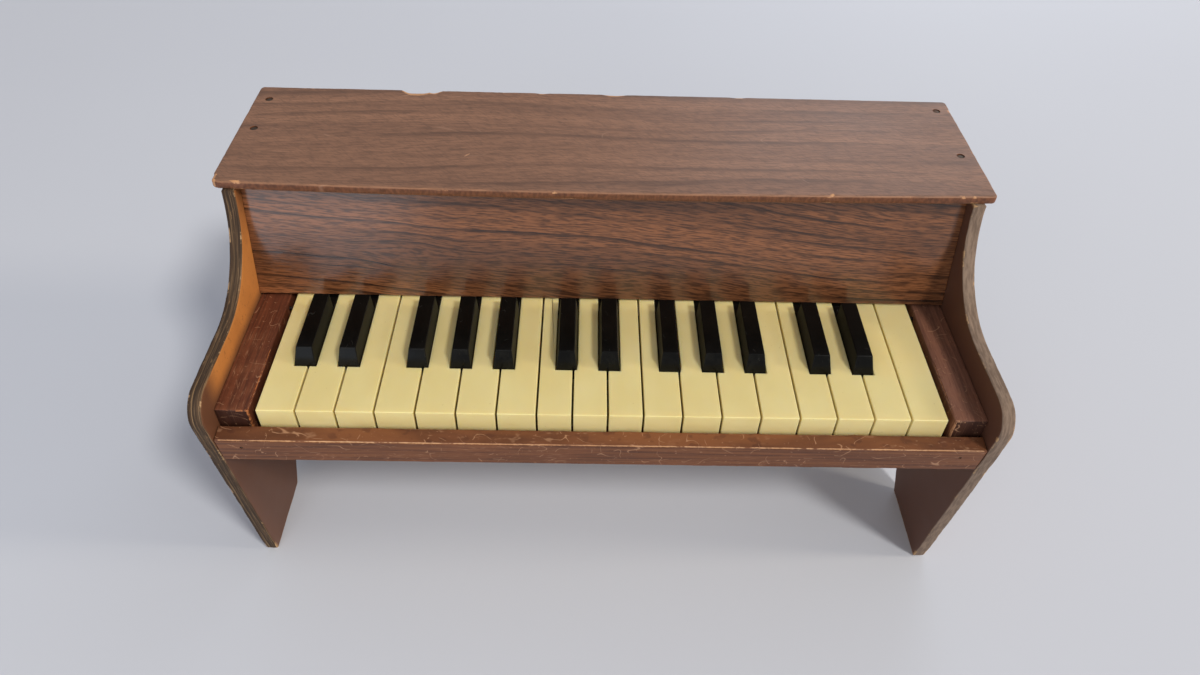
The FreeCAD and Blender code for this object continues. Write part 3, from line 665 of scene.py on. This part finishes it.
def joined_form(node):
    """The CAD node's loose triangles as one connected form with whole flat faces."""
    form = bmesh.new()
    form.from_mesh(frame["nodes"][node].data)
    bmesh.ops.remove_doubles(form, verts=form.verts, dist=SAME_POINT)
    bmesh.ops.dissolve_limit(form, angle_limit=FLAT_ANGLE, verts=form.verts, edges=form.edges)
    return form


def flat_place(place, axis):
    """The place on the two axes other than the given one."""
    return Vector([place[other] for other in range(3) if other != axis])


def in_space(flat, axis, along):
    place = list(flat)
    place.insert(axis, along)
    return Vector(place)


def hull_outline(node, axis):
    """Outline of a piece of convex section, seen along an axis."""
    places = [flat_place(vert.co, axis) for vert in frame["nodes"][node].data.vertices]
    hull = [places[i] for i in geometry.convex_hull_2d(places)]
    apart = [corner for i, corner in enumerate(hull) if (corner - hull[i - 1]).length > SAME_POINT]
    return anticlockwise(apart)


def face_outline(node, axis):
    """Outline of the piece's largest flat face across an axis."""
    form = joined_form(node)
    across = [face for face in form.faces if abs(face.normal[axis]) > ACROSS]
    largest = max(across, key=lambda face: face.calc_area())
    outline = [flat_place(vert.co, axis) for vert in largest.verts]
    form.free()
    return anticlockwise(outline)


def anticlockwise(outline):
    area = sum(outline[i - 1].cross(corner) for i, corner in enumerate(outline))
    return outline if area > 0 else outline[::-1]


def from_corner(outline, corner):
    """The same outline, begun at the corner that lies furthest in a direction."""
    start = max(range(len(outline)), key=lambda i: outline[i].dot(Vector(corner)))
    return outline[start:] + outline[:start]


def divided(outline, step):
    """The outline with more points on its long runs."""
    result = []
    for i, corner in enumerate(outline):
        following = outline[(i + 1) % len(outline)]
        parts = max(1, round((following - corner).length / step))
        result.extend(corner.lerp(following, part / parts) for part in range(parts))
    return result


def turn_at(outline, i):
    before = outline[i] - outline[i - 1]
    after = outline[(i + 1) % len(outline)] - outline[i]
    return before.angle(after)


def eased(outline, radius):
    """(point, number of its corner) of the outline, with a curve of about that radius at sharp corners."""
    result = []
    for i, corner in enumerate(outline):
        if turn_at(outline, i) < SHARP_ANGLE:
            result.append((corner, i))
            continue
        start = corner + (outline[i - 1] - corner).normalized() * radius
        end = corner + (outline[(i + 1) % len(outline)] - corner).normalized() * radius
        for step in range(ROUND_STEPS + 1):
            share = step / ROUND_STEPS
            result.append((start.lerp(corner, share).lerp(corner.lerp(end, share), share), i))
    return result


def inward_steps(outline):
    """For each corner, the move that draws both of its edges in by one metre."""
    steps = []
    for i, corner in enumerate(outline):
        before = (corner - outline[i - 1]).normalized()
        after = (outline[(i + 1) % len(outline)] - corner).normalized()
        first = Vector((-before.y, before.x))
        second = Vector((-after.y, after.x))
        steps.append((first + second) / (1 + first.dot(second)))
    return steps


def rings_across(low, high, radius, step):
    """(place, inset, edge share) of the rings of a board whose two edges are rounded.

    The first and last rings lie on the faces, where the wear of the edge has ended.
    """
    turns = [part / ROUND_STEPS * math.pi / 2 for part in range(ROUND_STEPS + 1)]
    start = [(0.0, radius + WEAR_ENDS, ON_FACE)]
    start += [(radius * (1 - math.cos(turn)), radius * (1 - math.sin(turn)), 1.0) for turn in turns]
    flat = high - low - 2 * radius
    count = max(1, round(flat / step))
    middle = [(radius + flat * part / count, 0.0, 0.0) for part in range(1, count)]
    end = [(high - low - place, inset, edge) for place, inset, edge in reversed(start)]
    return [(low + place, inset, edge) for place, inset, edge in start + middle + end]


def lofted(outline, axis, rings, wear, on_faces=None):
    """A closed form through the rings; wear(place, edge share) gives the depth lost and the bareness.

    The rings that lie on the faces pass through the points on_faces, where they are given.
    """
    form = bmesh.new()
    worn = form.verts.layers.float.new("worn")
    run = form.verts.layers.float.new("run")
    inward = inward_steps(outline)
    bends = [1.0 if turn_at(outline, i) > CURVE_TURN else 0.0 for i in range(len(outline))]
    loops = []
    for along, inset, edge in rings:
        loop = []
        travel = 0.0
        for i, corner in enumerate(outline):
            on_face = edge == ON_FACE
            flat = on_faces[i] if on_face and on_faces else corner + inward[i] * inset
            lost, bare = wear(in_space(flat, axis, along), max(edge, bends[i]))
            lost = 0.0 if on_face and on_faces else lost
            vert = form.verts.new(in_space(flat + inward[i] * lost, axis, along))
            vert[worn] = 0.0 if on_face else bare
            vert[run] = travel
            travel += (outline[(i + 1) % len(outline)] - corner).length
            loop.append(vert)
        loops.append(loop)
    for first, second in zip(loops, loops[1:]):
        for i in range(len(outline)):
            form.faces.new((first[i - 1], first[i], second[i], second[i - 1]))
    form.faces.new(loops[0])
    form.faces.new(loops[-1])
    bmesh.ops.remove_doubles(form, verts=form.verts, dist=SAME_POINT)
    bmesh.ops.recalc_face_normals(form, faces=form.faces)
    if form.calc_volume(signed=True) < 0.0:
        bmesh.ops.reverse_faces(form, faces=form.faces)
    return form


def unevenness(place, spacing):
    return 0.5 + 0.5 * noise.noise(place / spacing)


def handling(depth, amount):
    """Wear of edges by hands and knocks: up to that depth, and over about that share of the edge."""

    def wear(place, edge):
        fine, broad = unevenness(place, WEAR_FINE), unevenness(place, WEAR_BROAD)
        share = fine + BROAD_SHARE * (broad - fine)
        bare = min(1.0, max(0.0, WEAR_CONTRAST * (share - 0.5) + amount)) * edge
        return depth * bare, bare

    return wear


def sawn_ply(depth, amount):
    """Edge wear, deeper at the feet, on sawn layers that stand unevenly."""
    by_hand = handling(depth, amount)

    def wear(place, edge):
        lost, bare = by_hand(place, edge)
        foot = max(0.0, 1.0 - place.z / FOOT_WEAR_HEIGHT)
        bare = min(1.0, bare + FOOT_WEAR_SHARE * foot * edge)
        layer = Vector((place.x / PLY_THICKNESS, place.y / WEAR_BROAD, place.z / WEAR_BROAD))
        rough = unevenness(layer, 1.0) * SAW_ROUGHNESS * (1.0 - edge)
        return lost + rough + foot * edge * depth, bare

    return wear


def chipped_lid(depth, amount):
    """Edge wear with flakes broken out of the upper edge."""
    by_hand = handling(depth, amount)
    low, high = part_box("lid")

    def wear(place, edge):
        lost, bare = by_hand(place, edge)
        for side, middle, half, flake, reach in LID_FLAKES:
            from_side = high.y - place.y if side == "back" else place.y - low.y
            off = abs(place.x - middle) / half
            if from_side > LID_SIDE_REACH or off > 1.0:
                continue
            under = max(0.0, 1.0 - (high.z - place.z) / reach)
            ragged = RAGGED_LEAST + (RAGGED_MOST - RAGGED_LEAST) * unevenness(place, WEAR_FINE)
            broken = flake * (1.0 - off**2) * under * ragged
            lost = max(lost, broken)
            bare = max(bare, min(1.0, broken / FLAKE_SHOWS))
        return lost, bare

    return wear


def rubbed_cheek(node):
    """Wear where hands pass: the edges beside the keys, towards the front."""
    low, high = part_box(node)
    by_hand = handling(depth=0.5 * MM, amount=0.12)
    rubbed = handling(depth=0.9 * MM, amount=0.70)

    def wear(place, edge):
        beside_keys = abs(place.x) < (abs(low.x) + abs(high.x)) / 2
        in_front = place.y < low.y + RUBBED_LENGTH
        return rubbed(place, edge) if beside_keys and in_front else by_hand(place, edge)

    return wear


def rubbed_rail():
    """Wear along the rail's length, most of all where its top meets its front, and none at its ends."""
    low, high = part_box("front_rail")
    by_hand = handling(depth=0.6 * MM, amount=0.40)
    rubbed = handling(depth=0.8 * MM, amount=0.85)

    def wear(place, edge):
        if min(place.x - low.x, high.x - place.x) < RAIL_END:
            return 0.0, 0.0
        on_top = place.z > high.z - RAIL_EDGE_BAND
        in_front = place.y < low.y + RAIL_EDGE_BAND
        return rubbed(place, edge) if on_top and in_front else by_hand(place, edge)

    return wear


def untouched(place, edge):
    return 0.0, 0.0


def outer_edges(form, least):
    """Sharp edges that stand out, at least that long."""
    found = []
    for edge in form.edges:
        if len(edge.link_faces) != 2 or edge.calc_length() < least:
            continue
        if edge.is_convex and edge.calc_face_angle() > SHARP_ANGLE:
            found.append(edge)
    return found


def round_off(form, edges, radius):
    bmesh.ops.bevel(
        form,
        geom=edges,
        offset=radius,
        offset_type="OFFSET",
        segments=ROUND_STEPS,
        profile=0.5,
        affect="EDGES",
        clamp_overlap=True,
    )


def mesh_of(name, form):
    mesh = bpy.data.meshes.new(name)
    form.normal_update()
    form.to_mesh(mesh)
    form.free()
    return mesh


def linked(name, mesh):
    piece = bpy.data.objects.new(name, mesh)
    bpy.context.scene.collection.objects.link(piece)
    return piece


def placed(node, name, mesh, finish):
    """A piece that stands for a CAD node, with smooth rounds and flat faces kept flat."""
    mesh.materials.clear()
    mesh.materials.append(finish)
    mesh.shade_smooth()
    mesh.set_sharp_from_angle(angle=SHARP_ANGLE)
    piece = linked(name, mesh)
    even = piece.modifiers.new("even shading", "WEIGHTED_NORMAL")
    even.keep_sharp = True
    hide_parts(node)
    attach(piece, frame["nodes"][node]["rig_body"])
    return piece


def solids(node):
    """Lowest and highest corners of each separate solid in a CAD node, from low to high X, Y, Z."""
    form = joined_form(node)
    left = set(form.verts)
    boxes = []
    while left:
        queue = [left.pop()]
        found = []
        while queue:
            vert = queue.pop()
            found.append(vert.co.copy())
            near = {edge.other_vert(vert) for edge in vert.link_edges} & left
            left -= near
            queue.extend(near)
        lowest = Vector([min(co[axis] for co in found) for axis in range(3)])
        highest = Vector([max(co[axis] for co in found) for axis in range(3)])
        boxes.append((lowest, highest))
    form.free()
    return sorted(boxes, key=lambda box: tuple(box[0]))


# Shapes that repeat, made by Geometry Nodes


class Shape(Graph):
    """A Geometry Nodes tree with named sizes, which ends in Realize Instances and Set Material."""

    def __init__(self, name, sizes):
        super().__init__(bpy.data.node_groups.new(name, "GeometryNodeTree"))
        self.socket("Places", "NodeSocketGeometry")
        for label in sizes:
            self.socket(label, "NodeSocketFloat")
        self.socket("Marks", "NodeSocketObject")
        self.socket("Finish", "NodeSocketMaterial")
        self.socket("Geometry", "NodeSocketGeometry", "OUTPUT")
        self.given = self.add("NodeGroupInput").outputs

    def socket(self, label, kind, way="INPUT"):
        self.tree.interface.new_socket(label, in_out=way, socket_type=kind)

    def calc(self, operation, first, second):
        return self.add("ShaderNodeMath", {0: first, 1: second}, operation=operation).outputs[0]

    def moved(self, geometry, up, turn=STAND_UPRIGHT):
        lift = self.add("ShaderNodeCombineXYZ", {"Z": up}).outputs[0]
        inputs = {"Geometry": geometry, "Translation": lift, "Rotation": turn}
        return self.add("GeometryNodeTransform", inputs).outputs[0]

    def turned(self, geometry, turn):
        return self.add("GeometryNodeTransform", {"Geometry": geometry, "Rotation": turn}).outputs[0]

    def bar(self, radius, length, sides):
        """A round bar from its top at the origin down."""
        bar = self.add("GeometryNodeMeshCylinder", {"Vertices": sides, "Radius": radius, "Depth": length})
        return self.moved(bar.outputs[0], self.calc("MULTIPLY", length, -0.5))

    def shank(self, sides):
        """A round shank that starts inside the head."""
        start = self.calc("MULTIPLY", self.given["Head Height"], SHANK_START_SHARE)
        length = self.calc("SUBTRACT", self.given["Length"], start)
        bar = self.bar(self.given["Shank Radius"], length, sides)
        return self.moved(bar, self.calc("MULTIPLY", start, -1.0))

    def dome(self, radius, height, sides):
        """A flat dome, a little narrower than the head that it rises from."""
        sizes = {"Segments": sides, "Rings": DOME_RINGS, "Radius": radius}
        ball = self.add("GeometryNodeMeshUVSphere", sizes)
        rise = self.calc("DIVIDE", height, radius)
        flat = self.add("ShaderNodeCombineXYZ", {0: DOME_SHARE, 1: DOME_SHARE, 2: rise})
        inputs = {"Geometry": ball.outputs[0], "Scale": flat.outputs[0]}
        return self.add("GeometryNodeTransform", inputs).outputs[0]

    def opened(self, primitive, end):
        """The primitive without the face at one of its ends."""
        inputs = {"Geometry": primitive.outputs["Mesh"], "Selection": primitive.outputs[end]}
        return self.add("GeometryNodeDeleteGeometry", inputs, domain="FACE").outputs[0]

    def joined(self, *parts):
        node = self.add("GeometryNodeMeshBoolean", operation="UNION")
        for part in parts:
            self.tree.links.new(part, node.inputs[1])
        return node.outputs[0]

    def taken_off(self, whole, part):
        return self.add("GeometryNodeMeshBoolean", {0: whole, 1: part}, operation="DIFFERENCE").outputs[0]

    def at_places(self, geometry, places=None, **inputs):
        given = {"Points": places or self.given["Places"], "Instance": geometry, **inputs}
        return self.add("GeometryNodeInstanceOnPoints", given).outputs[0]

    def realized(self, geometry):
        return self.add("GeometryNodeRealizeInstances", {0: geometry}).outputs[0]

    def end(self, geometry):
        inputs = {"Geometry": self.realized(geometry), "Material": self.given["Finish"]}
        done = self.add("GeometryNodeSetMaterial", inputs)
        self.add("NodeGroupOutput", {0: done.outputs[0]})
        return self

    def grown(self, name, start, sizes, finish, marks=None):
        """The tree's result on a starting mesh, as a plain mesh of its own."""
        source = linked(name, start)
        growth = source.modifiers.new(name, "NODES")
        growth.node_group = self.tree
        values = {**sizes, "Finish": finish, "Marks": marks}
        for item in self.tree.interface.items_tree:
            if item.in_out == "INPUT" and values.get(item.name) is not None:
                growth[item.identifier] = values[item.name]
        view = bpy.context.evaluated_depsgraph_get()
        mesh = bpy.data.meshes.new_from_object(source.evaluated_get(view))
        bpy.data.objects.remove(source)
        return mesh


def points(name, places):
    mesh = bpy.data.meshes.new(name)
    mesh.from_pydata(places, [], [])
    return mesh


def nail_shape(name, turn):
    """A nail with a domed head, its top at the place and its point along the turned -Z."""
    shape = Shape(name, ["Head Radius", "Head Height", "Dome", "Shank Radius", "Length"])
    given = shape.given
    head = shape.bar(given["Head Radius"], given["Head Height"], NAIL_SIDES)
    shank = shape.shank(NAIL_SHANK_SIDES)
    dome = shape.dome(given["Head Radius"], given["Dome"], NAIL_SIDES)
    whole = shape.joined(head, shank, dome)
    whole = shape.moved(whole, shape.calc("MULTIPLY", given["Dome"], -1.0))
    return shape.end(shape.at_places(shape.turned(whole, turn)))


def screw_shape(name, turn):
    """A slotted screw with a domed head."""
    sizes = ["Head Radius", "Head Height", "Dome", "Shank Radius", "Length", "Slot Width", "Slot Depth"]
    shape = Shape(name, sizes)
    given = shape.given
    head = shape.bar(given["Head Radius"], given["Head Height"], SCREW_SIDES)
    shank = shape.shank(SCREW_SHANK_SIDES)
    dome = shape.dome(given["Head Radius"], given["Dome"], SCREW_SIDES)
    span = shape.calc("MULTIPLY", given["Head Radius"], SLOT_SPAN_SHARE)
    tall = shape.calc("MULTIPLY", shape.calc("ADD", given["Slot Depth"], given["Dome"]), 2.0)
    size = shape.add("ShaderNodeCombineXYZ", {0: span, 1: given["Slot Width"], 2: tall})
    slot = shape.add("GeometryNodeMeshCube", {"Size": size.outputs[0]}).outputs[0]
    slot = shape.moved(slot, given["Dome"], (0.0, 0.0, SCREW_SLOT_TURN))
    whole = shape.taken_off(shape.joined(head, shank, dome), slot)
    whole = shape.moved(whole, shape.calc("MULTIPLY", given["Dome"], -1.0))
    return shape.end(shape.at_places(shape.turned(whole, turn)))


def rod_shape():
    """Round rods along Y from their tips, as long as each place says, with a chamfered tip."""
    shape = Shape("tone_rod_shape", ["Radius", "Chamfer"])
    given = shape.given
    length = shape.add("GeometryNodeInputNamedAttribute", {"Name": "rod_length"}, data_type="FLOAT")
    straight = shape.calc("SUBTRACT", length.outputs[0], given["Chamfer"])
    stretch = shape.add("ShaderNodeCombineXYZ", {0: 1.0, 1: straight, 2: 1.0}).outputs[0]
    sizes = {"Vertices": ROD_SIDES, "Radius": given["Radius"], "Depth": 1.0}
    rod = shape.add("GeometryNodeMeshCylinder", sizes)
    rod = shape.turned(shape.moved(shape.opened(rod, "Bottom"), 0.5), LIE_FORWARD)
    rods = shape.at_places(rod, Scale=stretch)
    thin = shape.calc("MULTIPLY", given["Radius"], ROD_TIP_SHARE)
    sizes = {
        "Vertices": ROD_SIDES,
        "Radius Top": given["Radius"],
        "Radius Bottom": thin,
        "Depth": given["Chamfer"],
    }
    tip = shape.add("GeometryNodeMeshCone", sizes)
    back = shape.calc("MULTIPLY", given["Chamfer"], -1.0)
    tip = shape.turned(shape.moved(shape.opened(tip, "Top"), back), LIE_FORWARD)
    both = shape.add("GeometryNodeJoinGeometry")
    for part in (rods, shape.at_places(tip)):
        shape.tree.links.new(part, both.inputs[0])
    inputs = {"Geometry": shape.realized(both.outputs[0]), "Distance": SAME_POINT}
    return shape.end(shape.add("GeometryNodeMergeByDistance", inputs).outputs[0])


def pit_shape(name, turn):
    """A board with a round pit sunk at each mark."""
    shape = Shape(name, ["Radius", "Depth"])
    given = shape.given
    marks = shape.add("GeometryNodeObjectInfo", {"Object": given["Marks"]}).outputs["Geometry"]
    tall = shape.calc("MULTIPLY", given["Depth"], 2.0)
    sizes = {"Vertices": PIT_SIDES, "Radius": given["Radius"], "Depth": tall}
    drill = shape.add("GeometryNodeMeshCylinder", sizes)
    drills = shape.realized(shape.at_places(shape.turned(drill.outputs[0], turn), marks))
    return shape.end(shape.taken_off(given["Places"], drills))


# Pieces of the piano


def board_form(node, axis, radius, step, wear):
    """A board of even section along an axis, with eased edges."""
    low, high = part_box(node)
    sharp = hull_outline(node, axis)
    inset = radius + WEAR_ENDS
    drawn_in = [corner + inward * inset for corner, inward in zip(sharp, inward_steps(sharp))]
    outline, corners = zip(*eased(sharp, radius))
    on_faces = [drawn_in[i] for i in corners]
    return lofted(outline, axis, rings_across(low[axis], high[axis], radius, step), wear, on_faces)


def board(node, name, finish, axis, radius, step, wear=untouched):
    form = board_form(node, axis, radius, step, wear)
    return placed(node, name, mesh_of(name, form), finish)


def side_panels():
    for side in ("left", "right"):
        node = f"side_panel_{side}"
        low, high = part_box(node)
        outline = divided(from_corner(face_outline(node, X), (1.0, 1.0)), PANEL_POINTS)
        rings = rings_across(low.x, high.x, PANEL_EDGE, PANEL_RINGS)
        form = lofted(outline, X, rings, sawn_ply(depth=0.7 * MM, amount=0.35))
        placed(node, f"panel_{side}", mesh_of(f"panel_{side}", form), FINISHES["side_wood"])


def lid():
    low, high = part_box("lid")
    rounded = [point for point, corner in eased(hull_outline("lid", Z), LID_CORNER)]
    outline = divided(from_corner(rounded, (1.0, 1.0)), LID_POINTS)
    rings = rings_across(low.z, high.z, LID_EDGE, LID_RINGS)
    form = lofted(outline, Z, rings, chipped_lid(depth=0.5 * MM, amount=0.04))
    nails = solids("lid_nails")
    pits = [Vector((*(first + last).xy / 2, high.z)) for first, last in nails]
    depth = high.z - nails[0][1].z + NAIL_HEAD_HEIGHT
    finish = FINISHES["lid_wood"]
    mesh = pitted("lid_board", form, pits, LID_PIT_RADIUS, depth, STAND_UPRIGHT, finish)
    placed("lid", "lid_board", mesh, finish)


def pitted(name, form, places, radius, depth, turn, finish):
    """The form as a mesh with a round pit sunk at each place."""
    marks = linked(f"{name}_marks", points(f"{name}_marks", places))
    shape = pit_shape(f"{name}_pits", turn)
    sizes = {"Radius": radius, "Depth": depth}
    result = shape.grown(f"{name}_pitted", mesh_of(name, form), sizes, finish, marks)
    bpy.data.objects.remove(marks)
    return result


def front_rail():
    form = board_form("front_rail", X, RAIL_EDGE, RAIL_RINGS, rubbed_rail())
    places = []
    for first, last in solids("rail_nails"):
        middle = (first + last) / 2
        places.append(Vector((middle.x, first.y, middle.z)))
    mesh = pitted("rail", form, places, RAIL_PIT_RADIUS, RAIL_PIT_DEPTH, LIE_BACK, RAIL_STAIN)
    placed("front_rail", "rail", mesh, RAIL_STAIN)


def inner_boards():
    for side in ("left", "right"):
        cheek = f"cheek_{side}"
        wear = rubbed_cheek(cheek)
        board(cheek, f"cheek_block_{side}", CHEEK_STAINS[side], Y, CHEEK_EDGE, WORN_RINGS, wear)
        board(f"cleat_{side}", f"glue_cleat_{side}", FINISHES["inner_wood"], X, PLAIN_EDGE, CLEAT_RINGS)
    board("fallboard", "fallboard_board", FINISHES["fallboard_wood"], X, PLAIN_EDGE, PLAIN_RINGS)
    wear = handling(depth=0.2 * MM, amount=0.3)
    board("back_panel", "back_board", FINISHES["hardboard"], Y, BACK_EDGE, WORN_RINGS, wear)
    for node in ("key_bed", "pivot_rail", "rest_rail"):
        board(node, f"{node}_board", FINISHES["inner_wood"], X, PLAIN_EDGE, PLAIN_RINGS)
    wear = handling(depth=0.3 * MM, amount=0.3)
    board("sound_bar", "cast_sound_bar", FINISHES["cast_bar"], X, CASTING_EDGE, PLAIN_RINGS, wear)


def felt_nap(place, edge):
    """The uneven surface of felt, and no bareness."""
    return FELT_NAP_LEAST + (FELT_NAP_MOST - FELT_NAP_LEAST) * unevenness(place, FELT_NAP), 0.0


def felts():
    for node in ("rest_felt", "front_felt"):
        strip = board(node, f"{node}_cushion", FINISHES["felt"], X, FELT_EDGE, FELT_RINGS, felt_nap)


def reach_back(form):
    """Moves the rear edge of a black key's top closer to the fallboard."""
    seen = [vert for vert in form.verts if vert.co.y < 0.0]
    top = max(vert.co.z for vert in seen)
    for vert in seen:
        if vert.co.z > top - SAME_POINT and vert.co.y > CAP_MIDDLE:
            vert.co.y += CAP_REACH


def keyboard():
    for node in sorted(frame["nodes"]):
        if not node.startswith("key_") or node == "key_bed":
            continue
        slot = slot_of(node)
        form = joined_form(node)
        if slot == "black_plastic":
            reach_back(form)
        round_off(form, outer_edges(form, LEAST_ROUNDED), KEY_EDGES[slot])
        name = f"{node}_moulding"
        placed(node, name, mesh_of(name, form), FINISHES[slot])


def fasteners():
    nail = {
        "Head Radius": 2.3 * MM,
        "Head Height": NAIL_HEAD_HEIGHT,
        "Dome": 0.3 * MM,
        "Shank Radius": 0.8 * MM,
    }
    finishing_nail = {
        "Head Radius": 0.8 * MM,
        "Head Height": NAIL_HEAD_HEIGHT,
        "Dome": 0.2 * MM,
        "Shank Radius": 0.7 * MM,
    }
    screw = {
        "Head Radius": 3.2 * MM,
        "Head Height": 1.2 * MM,
        "Dome": 0.8 * MM,
        "Shank Radius": 1.6 * MM,
        "Slot Width": 0.9 * MM,
        "Slot Depth": 0.5 * MM,
    }
    sets = [
        ("lid_nails", nail_shape("lid_nail_shape", STAND_UPRIGHT), nail, Z, 1),
        ("back_nails", nail_shape("back_nail_shape", LIE_FORWARD), nail, Y, 1),
        ("rail_nails", nail_shape("rail_nail_shape", LIE_BACK), finishing_nail, Y, 0),
        ("bar_screws", screw_shape("bar_screw_shape", LIE_FORWARD), screw, Y, 1),
    ]
    for node, shape, sizes, axis, end in sets:
        boxes = solids(node)
        places = []
        for box in boxes:
            place = (box[0] + box[1]) / 2
            place[axis] = box[end][axis]
            places.append(place)
        sizes = {**sizes, "Length": boxes[0][1][axis] - boxes[0][0][axis] - sizes["Dome"]}
        finish = FINISHES[slot_of(node)]
        mesh = shape.grown(node, points(node, places), sizes, finish)
        placed(node, f"{node}_set", mesh, finish)


def tone_rods():
    boxes = solids("tone_rods")
    radius = (boxes[0][1].x - boxes[0][0].x) / 2
    places = []
    for low, high in boxes:
        middle = (low + high) / 2
        places.append(Vector((middle.x, low.y + ROD_CHAMFER, middle.z)))
    start = points("tone_rods", places)
    lengths = start.attributes.new("rod_length", "FLOAT", "POINT")
    lengths.data.foreach_set("value", [high.y - low.y for low, high in boxes])
    finish = FINISHES[slot_of("tone_rods")]
    sizes = {"Radius": radius, "Chamfer": ROD_CHAMFER}
    mesh = rod_shape().grown("tone_rods", start, sizes, finish)
    placed("tone_rods", "tone_rod_set", mesh, finish)


def remaining_nodes():
    """CAD pieces whose shape stays as it is get their finish."""
    for node, piece in frame["nodes"].items():
        if not piece.hide_render:
            piece.data.materials[0] = OILED_STEEL if node == "pivot_rod" else FINISHES[slot_of(node)]


# Floor, lights and camera


def floor():
    finish = Finish("pale_floor")
    clouds = finish.marks(finish.place, (0.5, 0.5, 0.5), 0.2, 2.0)
    colour = finish.mix(clouds, tone(193, 197, 207), tone(198, 202, 211))
    material = finish.surface(colour, 0.75)
    form = bmesh.new()
    bmesh.ops.create_circle(form, cap_ends=True, segments=FLOOR_SIDES, radius=FLOOR_RADIUS)
    mesh = mesh_of("floor", form)
    mesh.materials.append(material)
    linked("floor", mesh)


def hung(lamp, direction, colour, distance, power):
    """Sets a lamp up in that direction from the middle of the case, turned towards it."""
    lamp.energy = power
    lamp.color = colour
    holder = bpy.data.objects.new(lamp.name, lamp)
    towards = Vector(direction).normalized()
    holder.location = CASE_MIDDLE + towards * distance
    holder.rotation_euler = towards.to_track_quat("Z", "Y").to_euler()
    holder.visible_camera = False
    bpy.context.scene.collection.objects.link(holder)


def soft_light(name, direction, colour, distance, size, power):
    """A round lamp of that size."""
    lamp = bpy.data.lights.new(name, "AREA")
    lamp.shape = "DISK"
    lamp.size = size
    hung(lamp, direction, colour, distance, power)


def far_light(name, direction, colour, spread, strength):
    """A soft light from so far off that it falls evenly on the whole floor."""
    lamp = bpy.data.lights.new(name, "SUN")
    lamp.angle = math.radians(spread)
    hung(lamp, direction, colour, FAR_LIGHT_PLACE, strength)


def studio():
    world = bpy.data.worlds.new("pale_room")
    world.use_nodes = True
    room = Graph(world.node_tree)
    sky = world.node_tree.nodes["Background"]
    sky.inputs["Color"].default_value = tone(*ROOM_TONE)
    look = room.add("ShaderNodeTexCoord").outputs["Generated"]
    front = room.add("ShaderNodeVectorMath", {0: look, 1: ROOM_FRONT}, operation="DOT_PRODUCT")
    span = (front.outputs["Value"], *ROOM_SPAN, *ROOM_STRENGTH)
    strength = room.add("ShaderNodeMapRange", dict(enumerate(span)))
    world.node_tree.links.new(strength.outputs[0], sky.inputs["Strength"])
    bpy.context.scene.world = world
    far_light("key_light", (0.62, -0.64, 1.0), SUNLIGHT, spread=9.3, strength=1.71)
    soft_light("low_light", (1.0, -0.10, 0.45), LOW_SUNLIGHT, distance=4.0, size=0.6, power=50.0)
    soft_light("back_light", (0.45, 1.0, 0.48), SKYLIGHT, distance=2.0, size=1.2, power=7.0)
    soft_light("front_card", (-0.35, -0.95, 0.60), WARM_CARD, distance=1.2, size=0.50, power=2.0)
    soft_light("side_card", (-0.55, -0.95, 0.06), COOL_CARD, distance=1.15, size=0.60, power=1.3)


def camera():
    eye = bpy.data.cameras.new("camera")
    eye.sensor_width = SENSOR_WIDTH_MM
    eye.lens = LENS_MM
    holder = bpy.data.objects.new("camera", eye)
    holder.location = CAMERA_PLACE
    holder.rotation_euler = [math.radians(angle) for angle in CAMERA_TURN_DEGREES]
    bpy.context.scene.collection.objects.link(holder)
    bpy.context.scene.camera = holder


side_panels()
lid()
front_rail()
inner_boards()
felts()
keyboard()
fasteners()
tone_rods()
remaining_nodes()
floor()
studio()
camera()
bpy.context.scene.view_settings.view_transform = "Standard"
